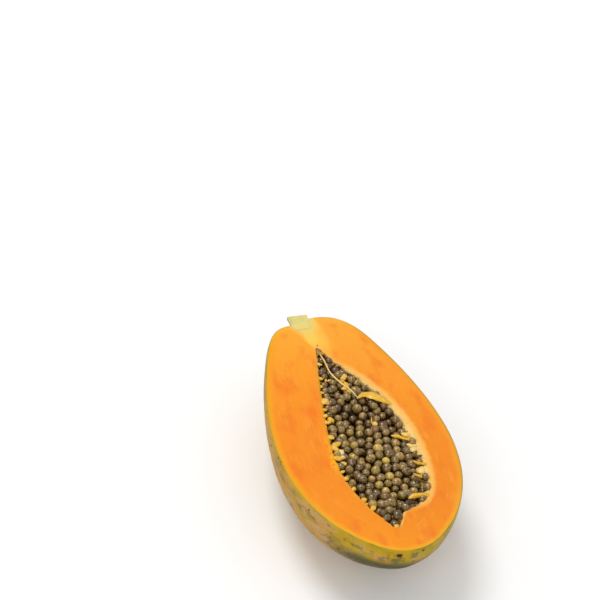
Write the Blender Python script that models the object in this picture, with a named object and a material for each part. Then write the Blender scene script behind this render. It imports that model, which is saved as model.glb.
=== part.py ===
"""Half a papaya, cut lengthwise through its stem, lying on its back with the seeds showing.

The fruit is one grown piece: its skin, its flesh, and the fibres that spring from the rim
of the seed cavity. The seeds, held together by their pulp, are a second piece, and the
stem stub that was cut with the fruit is a third.

Lengths are in metres. +X points to the stem, +Z is up, z = 0 is the surface that the
fruit lies on, and the origin is under the middle of the whole object.
"""

import math
import random

import bmesh
import bpy
import numpy as np
from mathutils import Euler, Matrix, Vector

# The fruit: place along its axis and radius there, from the stem end to the blossom end
PROFILE = [
    (0.0846, 0.0000),
    (0.0826, 0.0146),
    (0.0730, 0.0256),
    (0.0595, 0.0323),
    (0.0450, 0.0377),
    (0.0300, 0.0423),
    (0.0145, 0.0459),
    (-0.0010, 0.0482),
    (-0.0165, 0.0490),
    (-0.0320, 0.0476),
    (-0.0465, 0.0439),
    (-0.0600, 0.0376),
    (-0.0715, 0.0292),
    (-0.0810, 0.0188),
    (-0.0862, 0.0090),
    (-0.0875, 0.0000),
]
MAX_RADIUS = 0.0490
LOBES = 5
LOBE_SHARE = 0.016
LOBE_FADE = 0.045

# How it lies: on a small flat, with the cut level and a little above the fruit's axis
REST_FLAT_DEPTH = 0.0015
CUT_ABOVE_AXIS = 0.0035
AXIS_HEIGHT = MAX_RADIUS - REST_FLAT_DEPTH
CUT_HEIGHT = AXIS_HEIGHT + CUT_ABOVE_AXIS

# The seed cavity: its rim in the cut face, first along the +Y side, and its depth
CAVITY_RIM = [
    (0.0595, 0.0024),
    (0.0520, 0.0050),
    (0.0420, 0.0078),
    (0.0310, 0.0105),
    (0.0200, 0.0131),
    (0.0085, 0.0155),
    (-0.0030, 0.0175),
    (-0.0150, 0.0190),
    (-0.0270, 0.0197),
    (-0.0385, 0.0184),
    (-0.0495, 0.0152),
    (-0.0600, 0.0108),
    (-0.0715, 0.0032),
    (-0.0655, -0.0022),
    (-0.0608, -0.0095),
    (-0.0570, -0.0180),
    (-0.0465, -0.0252),
    (-0.0330, -0.0284),
    (-0.0190, -0.0296),
    (-0.0050, -0.0288),
    (0.0090, -0.0260),
    (0.0230, -0.0206),
    (0.0365, -0.0130),
    (0.0490, -0.0042),
]
CAVITY_MIDDLE = (-0.0100, -0.0040)
CAVITY_DEPTH = 0.0240

# The heap of seeds: the pulp's level under the cut face, with swells and pits in it, given
# by place, reach along X and Y, and rise
PULP_LEVEL = -0.0038
PULP_SWELLS = [
    (-0.0300, -0.0050, 0.0280, 0.0140, 0.0018),
    (0.0250, -0.0040, 0.0150, 0.0080, 0.0012),
    (-0.0180, -0.0270, 0.0300, 0.0060, -0.0014),
    (0.0065, 0.0000, 0.0075, 0.0040, -0.0042),
]

# The seeds: half lengths of an average one, how they vary, and how closely they lie
SEED_HALF_SIZE = (0.0029, 0.0026, 0.0025)
SEED_SIZE_SPREAD = (0.88, 1.05)
SEED_COUNT = 158
SEED_IN_TIP = (0.0540, 0.0020)
SEED_SPACING = 0.0051
SEED_WALL_ROOM = 0.0031
SEED_RISE = (0.0000, 0.0013)
SEED_SHUFFLES = 240
SEED_RANDOM = 3
SEED_SIDES = 6
SEED_BANDS = 4

# The stem stub, cut in half with the fruit: its radius along X, from its root in the flesh
# to its tip, and the dip in the shoulder beside it
STUB_Y = 0.0055
STUB_RADII = [(0.0760, 0.0046), (0.0800, 0.0058), (0.0840, 0.0060), (0.0875, 0.0063)]
STUB_SIDES = 20
SOCKET_REACH = 0.0100
DIMPLE_DEPTH = 0.0036
DIMPLE_Y = 0.0105
DIMPLE_WIDTH = 0.0060

# Yellow fibres grown from the rim over the seeds: route from the root and half widths there
FIBRES = [
    (
        [(0.0630, 0.0026), (0.0560, 0.0021), (0.0486, 0.0016), (0.0424, 0.0016),
         (0.0366, 0.0003), (0.0302, -0.0016), (0.0259, -0.0043), (0.0178, -0.0068)],
        [0.0010, 0.0009, 0.0007, 0.0006, 0.0007, 0.0008, 0.0006, 0.0004],
    ),
    (
        [(0.0126, -0.0285), (0.0130, -0.0250), (0.0143, -0.0220), (0.0170, -0.0188),
         (0.0196, -0.0152), (0.0205, -0.0118), (0.0194, -0.0088), (0.0178, -0.0064)],
        [0.0009, 0.0009, 0.0013, 0.0020, 0.0022, 0.0016, 0.0010, 0.0006],
    ),
]
FIBRE_HALF_DEPTH = 0.0005
FIBRE_SIDES = 8
FIBRE_STEPS = 3

# Mesh density and the clearance between neighbouring pieces
SPOKES = 72
BACK_RINGS = 14
FACE_RINGS = 2
BOWL_RINGS = 6
HUB = (-0.0150, 0.0)
REST_DIP = math.radians(76)
STRETCH = (0.088, 0.050, 0.0525)
GAP = 0.0004
REST_EDGE_HEIGHT = 0.00001

# Colour and roughness of each material
FLESH = ((0.95, 0.42, 0.08), 0.35)
SEED = ((0.11, 0.10, 0.07), 0.25)
STALK = ((0.74, 0.78, 0.38), 0.55)


def smooth_loop(points, count):
    """count points along a closed curve of continuous curvature through these points."""
    given = np.array(points, float)
    size = len(given)
    weights = np.zeros((size, size))
    for row in range(size):
        weights[row, row] = 4 / 6
        weights[row, (row + 1) % size] = 1 / 6
        weights[row, (row - 1) % size] = 1 / 6
    control = np.linalg.solve(weights, given)
    place = np.arange(count) * size / count
    first = place.astype(int)
    t = (place - first)[:, None]
    before, here, after, beyond = (control[(first + k) % size] for k in (-1, 0, 1, 2))
    return (
        (1 - t) ** 3 * before
        + (3 * t**3 - 6 * t**2 + 4) * here
        + (-3 * t**3 + 3 * t**2 + 3 * t + 1) * after
        + t**3 * beyond
    ) / 6


def smooth_line(points, count):
    """count points along a smooth open curve from the first of these points to the last."""
    given = np.array(points, float)
    padded = np.vstack([2 * given[0] - given[1], given, 2 * given[-1] - given[-2]])
    place = np.linspace(0, len(given) - 1, count)
    first = np.minimum(place.astype(int), len(given) - 2)
    t = (place - first)[:, None]
    a, b, c, d = (padded[first + k] for k in range(4))
    return 0.5 * (
        2 * b + (c - a) * t + (2 * a - 5 * b + 4 * c - d) * t**2 + (3 * b - a - 3 * c + d) * t**3
    )


def dense_profile():
    """The profile as many points, in order of x, for reading the radius at any place."""
    mirrored = [(x, -radius) for x, radius in PROFILE[-2:0:-1]]
    steps = 40
    loop = smooth_loop(PROFILE + mirrored, steps * (len(PROFILE) + len(mirrored)))
    side = loop[: steps * (len(PROFILE) - 1) + 1][::-1]
    return side[:, 0], np.maximum(side[:, 1], 0.0)


PROFILE_X, PROFILE_RADIUS = dense_profile()


def fruit_radius(x, y, z):
    """The whole fruit's radius at these points, with its low lobes and the dip by the stem."""
    off_axis = z - AXIS_HEIGHT
    near_stem = np.exp(-((y - DIMPLE_Y) ** 2 + off_axis**2) / (2 * DIMPLE_WIDTH**2))
    along = x + DIMPLE_DEPTH * near_stem * (x > 0)
    radius = np.interp(along, PROFILE_X, PROFILE_RADIUS, left=0.0, right=0.0)
    from_end = np.minimum(PROFILE_X[-1] - x, x - PROFILE_X[0])
    lobes = np.cos(LOBES * np.arctan2(y, -off_axis))
    return radius * (1 + LOBE_SHARE * lobes * np.exp(-np.maximum(from_end, 0) / LOBE_FADE))


def reach_skin(start, rays):
    """Where rays from a point inside the fruit meet its skin."""
    inside, outside = np.zeros(len(rays)), np.full(len(rays), 2.0)
    for _ in range(40):
        reach = (inside + outside) / 2
        x, y, z = (start + rays * reach[:, None]).T
        within = np.hypot(y, z - AXIS_HEIGHT) < fruit_radius(x, y, z)
        inside = np.where(within, reach, inside)
        outside = np.where(within, outside, reach)
    return start + rays * inside[:, None]


def back_ring(dip, height):
    """One ring of the skin, on rays from the hub at a height that dip this far below level."""
    turn = np.arange(SPOKES) * 2 * math.pi / SPOKES
    along = STRETCH[0] * np.cos(turn) * math.cos(dip)
    across = STRETCH[1] * np.sin(turn) * math.cos(dip)
    down = np.full(SPOKES, -STRETCH[2] * math.sin(dip))
    return reach_skin(np.array([*HUB, height]), np.column_stack([along, across, down]))


def bowl_depths():
    """The depths of the rings between the cavity's rim and its bottom."""
    steps = BOWL_RINGS + 1
    return [CAVITY_DEPTH * math.sin(math.pi / 2 * k / steps) for k in range(1, steps)]


def cavity_ring(rim, depth):
    """The cavity's outline at a depth below the cut face, drawn in towards its middle."""
    middle = np.array(CAVITY_MIDDLE)
    flat = middle + (rim - middle) * math.sqrt(1 - (depth / CAVITY_DEPTH) ** 2)
    return np.column_stack([flat, np.full(len(flat), CUT_HEIGHT - depth)])


def drawn_in(loop, distance):
    """The loop moved inwards by a distance, square to its own line."""
    along = np.roll(loop, -1, 0) - np.roll(loop, 1, 0)
    along /= np.linalg.norm(along, axis=1)[:, None]
    return loop + distance * np.column_stack([-along[:, 1], along[:, 0]])


def pulp_level(x, y):
    """Height of the pulp's surface, which the seeds stand out of, against the cut face."""
    level = PULP_LEVEL + np.zeros_like(x)
    for middle_x, middle_y, reach_x, reach_y, rise in PULP_SWELLS:
        level = level + rise * np.exp(
            -(((x - middle_x) / reach_x) ** 2) - ((y - middle_y) / reach_y) ** 2
        )
    return level


def material(name, look):
    """A plain surface of one colour and roughness."""
    colour, roughness = look
    made = bpy.data.materials.new(name)
    made.use_nodes = True
    shader = made.node_tree.nodes["Principled BSDF"]
    shader.inputs["Base Color"].default_value = (*colour, 1.0)
    shader.inputs["Roughness"].default_value = roughness
    made.diffuse_color = (*colour, 1.0)
    return made


def mesh_object(name, mesh_builder, finish):
    """A named object in the scene from a filled bmesh, with its faces pointing out."""
    bmesh.ops.recalc_face_normals(mesh_builder, faces=mesh_builder.faces)
    mesh = bpy.data.meshes.new(name)
    mesh_builder.to_mesh(mesh)
    mesh_builder.free()
    mesh.materials.append(finish)
    made = bpy.data.objects.new(name, mesh)
    bpy.context.scene.collection.objects.link(made)
    return made


def loft(rings, start=None, end=None):
    """A closed skin over a row of rings, with each end a fan to a point or one flat face."""
    builder = bmesh.new()
    rows = [[builder.verts.new(p) for p in ring] for ring in rings]
    for low, high in zip(rows, rows[1:]):
        for i in range(len(low)):
            j = (i + 1) % len(low)
            builder.faces.new((low[i], low[j], high[j], high[i]))
    for row, point in ((rows[0], start), (rows[-1], end)):
        if point is None:
            builder.faces.new(row)
            continue
        tip = builder.verts.new(point)
        for i in range(len(row)):
            builder.faces.new((row[i], row[(i + 1) % len(row)], tip))
    return builder


def applied(obj):
    """Bakes the object's modifiers into its mesh."""
    graph = bpy.context.evaluated_depsgraph_get()
    mesh = bpy.data.meshes.new_from_object(obj.evaluated_get(graph))
    obj.modifiers.clear()
    obj.data = mesh


def join(obj, others):
    """Unites the object with a collection of others, which are then removed."""
    union = obj.modifiers.new("union", "BOOLEAN")
    union.operation = "UNION"
    union.operand_type = "COLLECTION"
    union.collection = others
    union.solver = "EXACT"
    applied(obj)
    for other in list(others.objects):
        bpy.data.objects.remove(other)
    bpy.data.collections.remove(others)


def group(name):
    """A collection in the scene for shapes that are about to be joined."""
    made = bpy.data.collections.new(name)
    bpy.context.scene.collection.children.link(made)
    return made


def move_to(obj, collection):
    """Takes the object out of the scene's own collection into this one."""
    bpy.context.scene.collection.objects.unlink(obj)
    collection.objects.link(obj)


def tube(name, line, half_widths, finish):
    """A fibre along a line: an oval tube with flat ends."""
    ahead = np.gradient(line, axis=0)
    rings = []
    for place, heading, wide in zip(line, ahead, half_widths):
        across = Vector(heading).cross(Vector((0, 0, 1))).normalized()
        ring = []
        for side in range(FIBRE_SIDES):
            turn = 2 * math.pi * side / FIBRE_SIDES
            up = Vector((0, 0, FIBRE_HALF_DEPTH * math.sin(turn)))
            ring.append(Vector(place) + across * wide * math.cos(turn) + up)
        rings.append(ring)
    return mesh_object(name, loft(rings), finish)


def fibre_line(route, half_widths, seeds):
    """A fibre's route and widths: rooted under the cut face, then draped over the seeds."""
    count = FIBRE_STEPS * (len(route) - 1) + 1
    flat = smooth_line(route, count)
    wide = np.interp(np.linspace(0, 1, count), np.linspace(0, 1, len(route)), half_widths)
    ahead = np.gradient(flat, axis=0)
    ahead /= np.linalg.norm(ahead, axis=1)[:, None]
    across = np.column_stack([-ahead[:, 1], ahead[:, 0]]) * wide[:, None]
    under = np.full(count, CUT_HEIGHT - 2 * FIBRE_HALF_DEPTH - GAP)
    for share in (-1.0, -0.5, 0.0, 0.5, 1.0):
        spots = flat + share * across
        for place, size, _ in seeds:
            clear = size * SEED_HALF_SIZE[0] + GAP
            off = np.hypot(spots[:, 0] - place[0], spots[:, 1] - place[1])
            top = place[2] + np.sqrt(np.clip(clear**2 - off**2, 0, None))
            under = np.where(off < clear, np.maximum(under, top), under)
    return np.column_stack([flat, under + FIBRE_HALF_DEPTH]), wide


def build_stub(name, finish, grow=0.0):
    """The half stalk, flat along the cut; grow turns it into the cutter for its socket."""
    rings = []
    for x, radius in STUB_RADII:
        wide = radius + grow
        ring = []
        for side in range(STUB_SIDES + 1):
            turn = math.pi * side / STUB_SIDES
            ring.append((x, STUB_Y + wide * math.cos(turn), CUT_HEIGHT - wide * math.sin(turn)))
        if grow:
            ring.append((x, STUB_Y - wide, CUT_HEIGHT + SOCKET_REACH))
            ring.append((x, STUB_Y + wide, CUT_HEIGHT + SOCKET_REACH))
        rings.append(ring)
    if grow:
        rings[0] = [(x - grow, y, z) for x, y, z in rings[0]]
        rings[-1] = [(x + SOCKET_REACH, y, z) for x, y, z in rings[-1]]
    return mesh_object(name, loft(rings), finish)


def build_fruit(seeds):
    """Skin and flesh in one piece: the back, the cut face, the seed cavity and its fibres."""
    rim = smooth_loop(CAVITY_RIM, SPOKES)
    rings = [back_ring(0.0, 0.0)]
    for k in range(1, BACK_RINGS + 1):
        rings.append(back_ring(REST_DIP * (1 - k / BACK_RINGS), CUT_HEIGHT))
    edge, lip = rings[-1], cavity_ring(rim, 0.0)
    for k in range(1, FACE_RINGS + 1):
        share = k / (FACE_RINGS + 1)
        rings.append(edge * (1 - share) + lip * share)
    rings.append(lip)
    rings += [cavity_ring(rim, depth) for depth in bowl_depths()]
    bottom = Vector((*CAVITY_MIDDLE, CUT_HEIGHT - CAVITY_DEPTH))
    builder = loft(rings, None, bottom)
    flesh = material("flesh", FLESH)
    fruit = mesh_object("half_fruit", builder, flesh)
    cutter = build_stub("stub_socket", flesh, GAP)
    cutter.hide_render = True
    cutter.display_type = "WIRE"
    socket = fruit.modifiers.new("stub socket", "BOOLEAN")
    socket.operation = "DIFFERENCE"
    socket.object = cutter
    socket.solver = "EXACT"
    applied(fruit)
    bpy.data.objects.remove(cutter)
    fibres = group("fibres")
    for number, (route, half_widths) in enumerate(FIBRES):
        line, wide = fibre_line(route, half_widths, seeds)
        move_to(tube(f"fibre_{number}", line, wide, flesh), fibres)
    join(fruit, fibres)


def wall_room(places, wall):
    """How far each place lies inside the wall, below zero outside it, and the way inwards."""
    finish = np.roll(wall, -1, 0)
    span = finish - wall
    reach = places[:, None] - wall
    share = np.clip((reach * span).sum(2) / (span**2).sum(1), 0, 1)
    away = reach - share[..., None] * span
    distance = np.linalg.norm(away, axis=2)
    nearest = distance.argmin(1)
    rows = np.arange(len(places))
    distance, away = distance[rows, nearest], away[rows, nearest]
    x, y = places[:, :1], places[:, 1:]
    straddles = (wall[:, 1] > y) != (finish[:, 1] > y)
    rise = np.where(span[:, 1] == 0, 1.0, span[:, 1])
    crossing = wall[:, 0] + (y - wall[:, 1]) * span[:, 0] / rise
    side = np.where((straddles & (x < crossing)).sum(1) % 2 == 1, 1.0, -1.0)
    return side * distance, away * (side / distance)[:, None]


def seed_plan():
    """Every seed's middle, size and turn: thrown in at random, then pushed apart."""
    draw = random.Random(SEED_RANDOM)
    wall = cavity_ring(smooth_loop(CAVITY_RIM, 4 * SPOKES), -PULP_LEVEL)[:, :2]
    low, high = wall.min(0), wall.max(0)
    places = np.empty((0, 2))
    while len(places) < SEED_COUNT:
        thrown = np.array([[draw.uniform(low[0], high[0]), draw.uniform(low[1], high[1])]])
        if wall_room(thrown, wall)[0][0] > 0:
            places = np.vstack([places, thrown])
    for _ in range(SEED_SHUFFLES):
        between = places[:, None] - places
        apart = np.linalg.norm(between, axis=2)
        apart = np.maximum(apart, GAP)
        np.fill_diagonal(apart, SEED_SPACING)
        push = np.clip(SEED_SPACING / apart - 1, 0, 1)
        places = places + 0.25 * (between * push[..., None]).sum(1)
        room, inward = wall_room(places, wall)
        places = places + inward * np.clip(SEED_WALL_ROOM - room, 0, None)[:, None]
    places = np.vstack([places, SEED_IN_TIP])
    room = wall_room(places, wall)[0]
    plan = []
    for (x, y), space in zip(places, room):
        size = min(draw.uniform(*SEED_SIZE_SPREAD), (space - GAP) / SEED_HALF_SIZE[0])
        z = CUT_HEIGHT + float(pulp_level(x, y)) + draw.uniform(*SEED_RISE)
        turn = Euler([draw.uniform(0, 2 * math.pi) for _ in range(3)])
        plan.append(((x, y, z), size, turn))
    return plan


def build_seeds(seeds):
    """The seeds standing out of the pulp that fills the cavity, joined in one piece."""
    finish = material("seed", SEED)
    rim = drawn_in(smooth_loop(CAVITY_RIM, SPOKES), GAP)
    middle = np.array(CAVITY_MIDDLE)
    top = cavity_ring(rim, -PULP_LEVEL)[:, :2]
    rings = []
    for share in (0.3, 0.65, 1.0):
        flat = middle + (top - middle) * share
        rings.append(np.column_stack([flat, CUT_HEIGHT + pulp_level(flat[:, 0], flat[:, 1])]))
    for depth in bowl_depths():
        ring = cavity_ring(rim, depth)
        rings.append(ring + np.array([0, 0, GAP]))
    crest = Vector((*middle, CUT_HEIGHT + float(pulp_level(*middle))))
    bottom = Vector((*middle, CUT_HEIGHT - CAVITY_DEPTH + GAP))
    pulp = mesh_object("seeds", loft(rings, crest, bottom), finish)
    heap = group("heap")
    for number, (place, size, turn) in enumerate(seeds):
        builder = bmesh.new()
        bmesh.ops.create_uvsphere(builder, u_segments=SEED_SIDES, v_segments=SEED_BANDS, radius=1.0)
        scale = Matrix.Diagonal([size * half for half in SEED_HALF_SIZE] + [1.0])
        builder.transform(Matrix.Translation(place) @ turn.to_matrix().to_4x4() @ scale)
        move_to(mesh_object(f"seed_{number}", builder, finish), heap)
    join(pulp, heap)


def mark_rest_edge(obj):
    """Keeps the edge of the small flat that the fruit lies on crisp."""
    mesh = obj.data
    for edge in mesh.edges:
        ends = [mesh.vertices[number].co.z for number in edge.vertices]
        if max(ends) < REST_EDGE_HEIGHT:
            edge.use_edge_sharp = True


def main():
    """Clears the scene and builds the three pieces."""
    for obj in list(bpy.data.objects):
        bpy.data.objects.remove(obj)
    seeds = seed_plan()
    build_fruit(seeds)
    build_seeds(seeds)
    build_stub("stem_stub", material("stalk", STALK))
    for obj in bpy.data.objects:
        obj.data.shade_smooth()
        obj.data.set_sharp_from_angle(angle=math.radians(35))
        mark_rest_edge(obj)


main()
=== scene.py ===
import math
import random

import bpy
import numpy as np
from mathutils import Euler, Matrix, Vector, noise


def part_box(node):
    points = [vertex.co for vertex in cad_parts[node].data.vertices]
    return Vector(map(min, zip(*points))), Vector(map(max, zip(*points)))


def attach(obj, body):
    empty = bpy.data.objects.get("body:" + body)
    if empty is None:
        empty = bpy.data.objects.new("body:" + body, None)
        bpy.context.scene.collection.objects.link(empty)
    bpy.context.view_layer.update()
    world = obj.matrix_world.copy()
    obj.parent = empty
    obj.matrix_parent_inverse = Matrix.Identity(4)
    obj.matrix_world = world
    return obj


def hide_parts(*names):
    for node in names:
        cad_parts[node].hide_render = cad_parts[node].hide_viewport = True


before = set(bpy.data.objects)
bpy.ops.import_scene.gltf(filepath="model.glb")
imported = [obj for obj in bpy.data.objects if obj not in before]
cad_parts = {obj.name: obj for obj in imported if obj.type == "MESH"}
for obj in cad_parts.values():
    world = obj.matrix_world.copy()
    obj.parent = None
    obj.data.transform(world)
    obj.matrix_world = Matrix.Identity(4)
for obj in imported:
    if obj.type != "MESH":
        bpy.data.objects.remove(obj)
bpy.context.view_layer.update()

# The view. A long lens looks down on the cut face from the blossom end, with the camera
# rolled a little, so that the stem lies at the upper left of a square picture.
CUT_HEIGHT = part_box("stem_stub")[1][2]
VIEW_BEARING = math.radians(150)
VIEW_RISE = math.radians(46)
VIEW_ROLL = math.radians(14)
VIEW_DISTANCE = 1.0
VIEW_POINT = Vector((-0.0144, 0.0006, CUT_HEIGHT))
VIEW_POINT_AT = (365, 445)
PICTURE_SIZE = 600
FOCAL_PIXELS = 1874
SENSOR_WIDTH = 36.0

to_camera = Vector((
    math.cos(VIEW_RISE) * math.cos(VIEW_BEARING),
    math.cos(VIEW_RISE) * math.sin(VIEW_BEARING),
    math.sin(VIEW_RISE),
))
level_right = Vector((0, 0, 1)).cross(to_camera).normalized()
level_up = to_camera.cross(level_right)
right = level_right * math.cos(VIEW_ROLL) + level_up * math.sin(VIEW_ROLL)
up = level_up * math.cos(VIEW_ROLL) - level_right * math.sin(VIEW_ROLL)
aside = (VIEW_POINT_AT[0] - PICTURE_SIZE / 2) / FOCAL_PIXELS
below = (VIEW_POINT_AT[1] - PICTURE_SIZE / 2) / FOCAL_PIXELS
backwards = (to_camera + right * aside - up * below).normalized()
right = (right - backwards * right.dot(backwards)).normalized()
up = backwards.cross(right)
camera_data = bpy.data.cameras.new("camera")
camera_data.sensor_width = SENSOR_WIDTH
camera_data.lens = SENSOR_WIDTH * FOCAL_PIXELS / PICTURE_SIZE
camera = bpy.data.objects.new("camera", camera_data)
camera.matrix_world = Matrix((right, up, backwards)).transposed().to_4x4()
camera.location = VIEW_POINT + to_camera * VIEW_DISTANCE
bpy.context.scene.collection.objects.link(camera)
bpy.context.scene.camera = camera

# The floor and the light. A wide white surface under a large soft lamp above and behind the
# fruit, with a weaker one from the front and a white room around them.
FLOOR_HALF_SIZE = 30.0
FLOOR_WHITE = (0.98, 0.98, 0.98, 1.0)
FLOOR_ROUGHNESS = 0.6
FLOOR_SHINE = 0.2
ROOM_WHITE = (1.0, 1.0, 1.0, 1.0)
ROOM_STRENGTH = 0.65
LAMPS = [
    ("main_lamp", (1.10, 0.60, 2.40), 1.2, 29.5),
    ("side_lamp", (-1.42, 1.42, 1.71), 1.3, 10.0),
]

bpy.context.scene.view_settings.view_transform = "Standard"
floor_mesh = bpy.data.meshes.new("floor")
corners = [(x, y, 0) for x, y in ((-1, -1), (1, -1), (1, 1), (-1, 1))]
floor_mesh.from_pydata([Vector(c) * FLOOR_HALF_SIZE for c in corners], [], [(0, 1, 2, 3)])
floor = bpy.data.objects.new("floor", floor_mesh)
bpy.context.scene.collection.objects.link(floor)
floor_finish = bpy.data.materials.new("white_floor")
floor_finish.use_nodes = True
floor_shader = floor_finish.node_tree.nodes["Principled BSDF"]
floor_shader.inputs["Base Color"].default_value = FLOOR_WHITE
floor_shader.inputs["Roughness"].default_value = FLOOR_ROUGHNESS
floor_shader.inputs["Specular IOR Level"].default_value = FLOOR_SHINE
floor_mesh.materials.append(floor_finish)

room = bpy.data.worlds.new("room")
room.use_nodes = True
room.node_tree.nodes["Background"].inputs["Color"].default_value = ROOM_WHITE
room.node_tree.nodes["Background"].inputs["Strength"].default_value = ROOM_STRENGTH
bpy.context.scene.world = room
for lamp_name, place, size, power in LAMPS:
    lamp_data = bpy.data.lights.new(lamp_name, "AREA")
    lamp_data.shape = "DISK"
    lamp_data.size = size
    lamp_data.energy = power
    lamp = bpy.data.objects.new(lamp_name, lamp_data)
    lamp.location = place
    lamp.rotation_euler = (Vector(place) - VIEW_POINT).to_track_quat("Z", "Y").to_euler()
    bpy.context.scene.collection.objects.link(lamp)

# The half fruit. One grown body of skin and flesh, cut lengthwise with a knife: the round
# back, the moist cut face, and the cavity with its soft, ragged, fibrous wall.
PROFILE = [
    (0.0846, 0.0000),
    (0.0826, 0.0146),
    (0.0730, 0.0256),
    (0.0595, 0.0323),
    (0.0450, 0.0377),
    (0.0300, 0.0423),
    (0.0145, 0.0459),
    (-0.0010, 0.0482),
    (-0.0165, 0.0490),
    (-0.0320, 0.0476),
    (-0.0465, 0.0439),
    (-0.0600, 0.0376),
    (-0.0715, 0.0292),
    (-0.0810, 0.0188),
    (-0.0862, 0.0090),
    (-0.0875, 0.0000),
]
PROFILE_STEPS = 40
SKIN_HALVINGS = 34
LOBES = 5
LOBE_SHARE = 0.016
LOBE_FADE = 0.045
AXIS_HEIGHT = CUT_HEIGHT - 0.0035
DIMPLE_DEPTH = 0.0036
DIMPLE_Y = 0.0105
DIMPLE_WIDTH = 0.0060
CAVITY_RIM = [
    (0.0595, 0.0024),
    (0.0520, 0.0050),
    (0.0420, 0.0078),
    (0.0310, 0.0105),
    (0.0200, 0.0131),
    (0.0085, 0.0155),
    (-0.0030, 0.0175),
    (-0.0150, 0.0190),
    (-0.0270, 0.0197),
    (-0.0385, 0.0184),
    (-0.0495, 0.0152),
    (-0.0600, 0.0108),
    (-0.0715, 0.0032),
    (-0.0655, -0.0022),
    (-0.0608, -0.0095),
    (-0.0570, -0.0180),
    (-0.0465, -0.0252),
    (-0.0330, -0.0284),
    (-0.0190, -0.0296),
    (-0.0050, -0.0288),
    (0.0090, -0.0260),
    (0.0230, -0.0206),
    (0.0365, -0.0130),
    (0.0490, -0.0042),
]
CAVITY_MIDDLE = (-0.0100, -0.0040)
CAVITY_DEPTH = 0.0240
HUB = (-0.0150, 0.0)
STRETCH = (0.088, 0.050, 0.0525)
REST_DIP = math.radians(76)
SPOKES = 480
REST_SHARES = (0.25, 0.5, 0.75)
BACK_RINGS = 84
FACE_RINGS = 56
WALL_RINGS = 34
EDGE_ROUNDING = 0.0004
EDGE_TURNS = (0.0, 30.0, 60.0, 90.0)
LIP_ROUNDING = 0.0009
LIP_TURNS = (25.0, 50.0, 75.0)
LIP_RAGGED = 0.0006
LIP_RAGGED_SIZES = (0.0035, 0.0013)
RAGGED_FADE = 0.0060
WALL_CROWDING = 1.5
WALL_ROUGH = 0.0008
WALL_ROUGH_SIZE = 0.0018
LEDGE = (0.0007, 0.0030)
LEDGE_FACING = (-0.1, 0.4)
LEDGE_FROM = (-0.066, -0.056)
LEDGE_TO = (0.044, 0.018)
LEDGE_DEPTH = 0.0034
LEDGE_FOOT = 0.0120
LEDGE_ROUGH = 0.3
LEDGE_ROUGH_SIZE = 0.0026
FACE_WAVE = 0.00012
FACE_WAVE_SIZE = 0.0070
SKIN_DENT = 0.00018
SKIN_DENT_SIZE = 0.0065
REST_CLEAR = 0.0030
FAR_FROM_RIM = 99.0
DEEP_UNDER_SKIN = 20.0


def smooth_loop(points, count):
    """count points along a closed curve of continuous curvature through these points."""
    given = np.array(points, float)
    size = len(given)
    weights = np.zeros((size, size))
    for row in range(size):
        weights[row, row] = 4 / 6
        weights[row, (row + 1) % size] = 1 / 6
        weights[row, (row - 1) % size] = 1 / 6
    control = np.linalg.solve(weights, given)
    place = np.arange(count) * size / count
    first = place.astype(int)
    t = (place - first)[:, None]
    before, here, after, beyond = (control[(first + k) % size] for k in (-1, 0, 1, 2))
    return (
        (1 - t) ** 3 * before
        + (3 * t**3 - 6 * t**2 + 4) * here
        + (-3 * t**3 + 3 * t**2 + 3 * t + 1) * after
        + t**3 * beyond
    ) / 6


mirrored = [(x, -radius) for x, radius in PROFILE[-2:0:-1]]
profile_loop = smooth_loop(PROFILE + mirrored, PROFILE_STEPS * (len(PROFILE) + len(mirrored)))
profile_side = profile_loop[: PROFILE_STEPS * (len(PROFILE) - 1) + 1][::-1]
PROFILE_X, PROFILE_RADIUS = profile_side[:, 0], np.maximum(profile_side[:, 1], 0.0)


def fruit_radius(x, y, z):
    """The whole fruit's radius at these points, with its low lobes and the dip by the stem."""
    off_axis = z - AXIS_HEIGHT
    near_stem = np.exp(-((y - DIMPLE_Y) ** 2 + off_axis**2) / (2 * DIMPLE_WIDTH**2))
    along = x + DIMPLE_DEPTH * near_stem * (x > 0)
    radius = np.interp(along, PROFILE_X, PROFILE_RADIUS, left=0.0, right=0.0)
    from_end = np.minimum(PROFILE_X[-1] - x, x - PROFILE_X[0])
    lobes = np.cos(LOBES * np.arctan2(y, -off_axis))
    return radius * (1 + LOBE_SHARE * lobes * np.exp(-np.maximum(from_end, 0) / LOBE_FADE))


def reach_skin(start, rays):
    """Where rays from a point inside the fruit meet its skin."""
    inside, outside = np.zeros(len(rays)), np.full(len(rays), 2.0)
    for _ in range(SKIN_HALVINGS):
        reach = (inside + outside) / 2
        x, y, z = (start + rays * reach[:, None]).T
        within = np.hypot(y, z - AXIS_HEIGHT) < fruit_radius(x, y, z)
        inside = np.where(within, reach, inside)
        outside = np.where(within, outside, reach)
    return start + rays * inside[:, None]


def back_ring(dip, height):
    """One ring of the skin, on rays from the hub at a height that dip this far below level."""
    turn = np.arange(SPOKES) * 2 * math.pi / SPOKES
    along = STRETCH[0] * np.cos(turn) * math.cos(dip)
    across = STRETCH[1] * np.sin(turn) * math.cos(dip)
    down = np.full(SPOKES, -STRETCH[2] * math.sin(dip))
    return reach_skin(np.array([*HUB, height]), np.column_stack([along, across, down]))


def unit_rows(vectors):
    """Each row of these vectors at a length of one."""
    return vectors / np.linalg.norm(vectors, axis=1)[:, None]


def drawn_in(loop, distance):
    """The loop moved inwards by a distance, square to its own line in the cut face."""
    along = unit_rows((np.roll(loop, -1, 0) - np.roll(loop, 1, 0))[:, :2])
    moved = loop.copy()
    moved[:, :2] += np.reshape(distance, (-1, 1)) * np.column_stack([-along[:, 1], along[:, 0]])
    return moved


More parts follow.
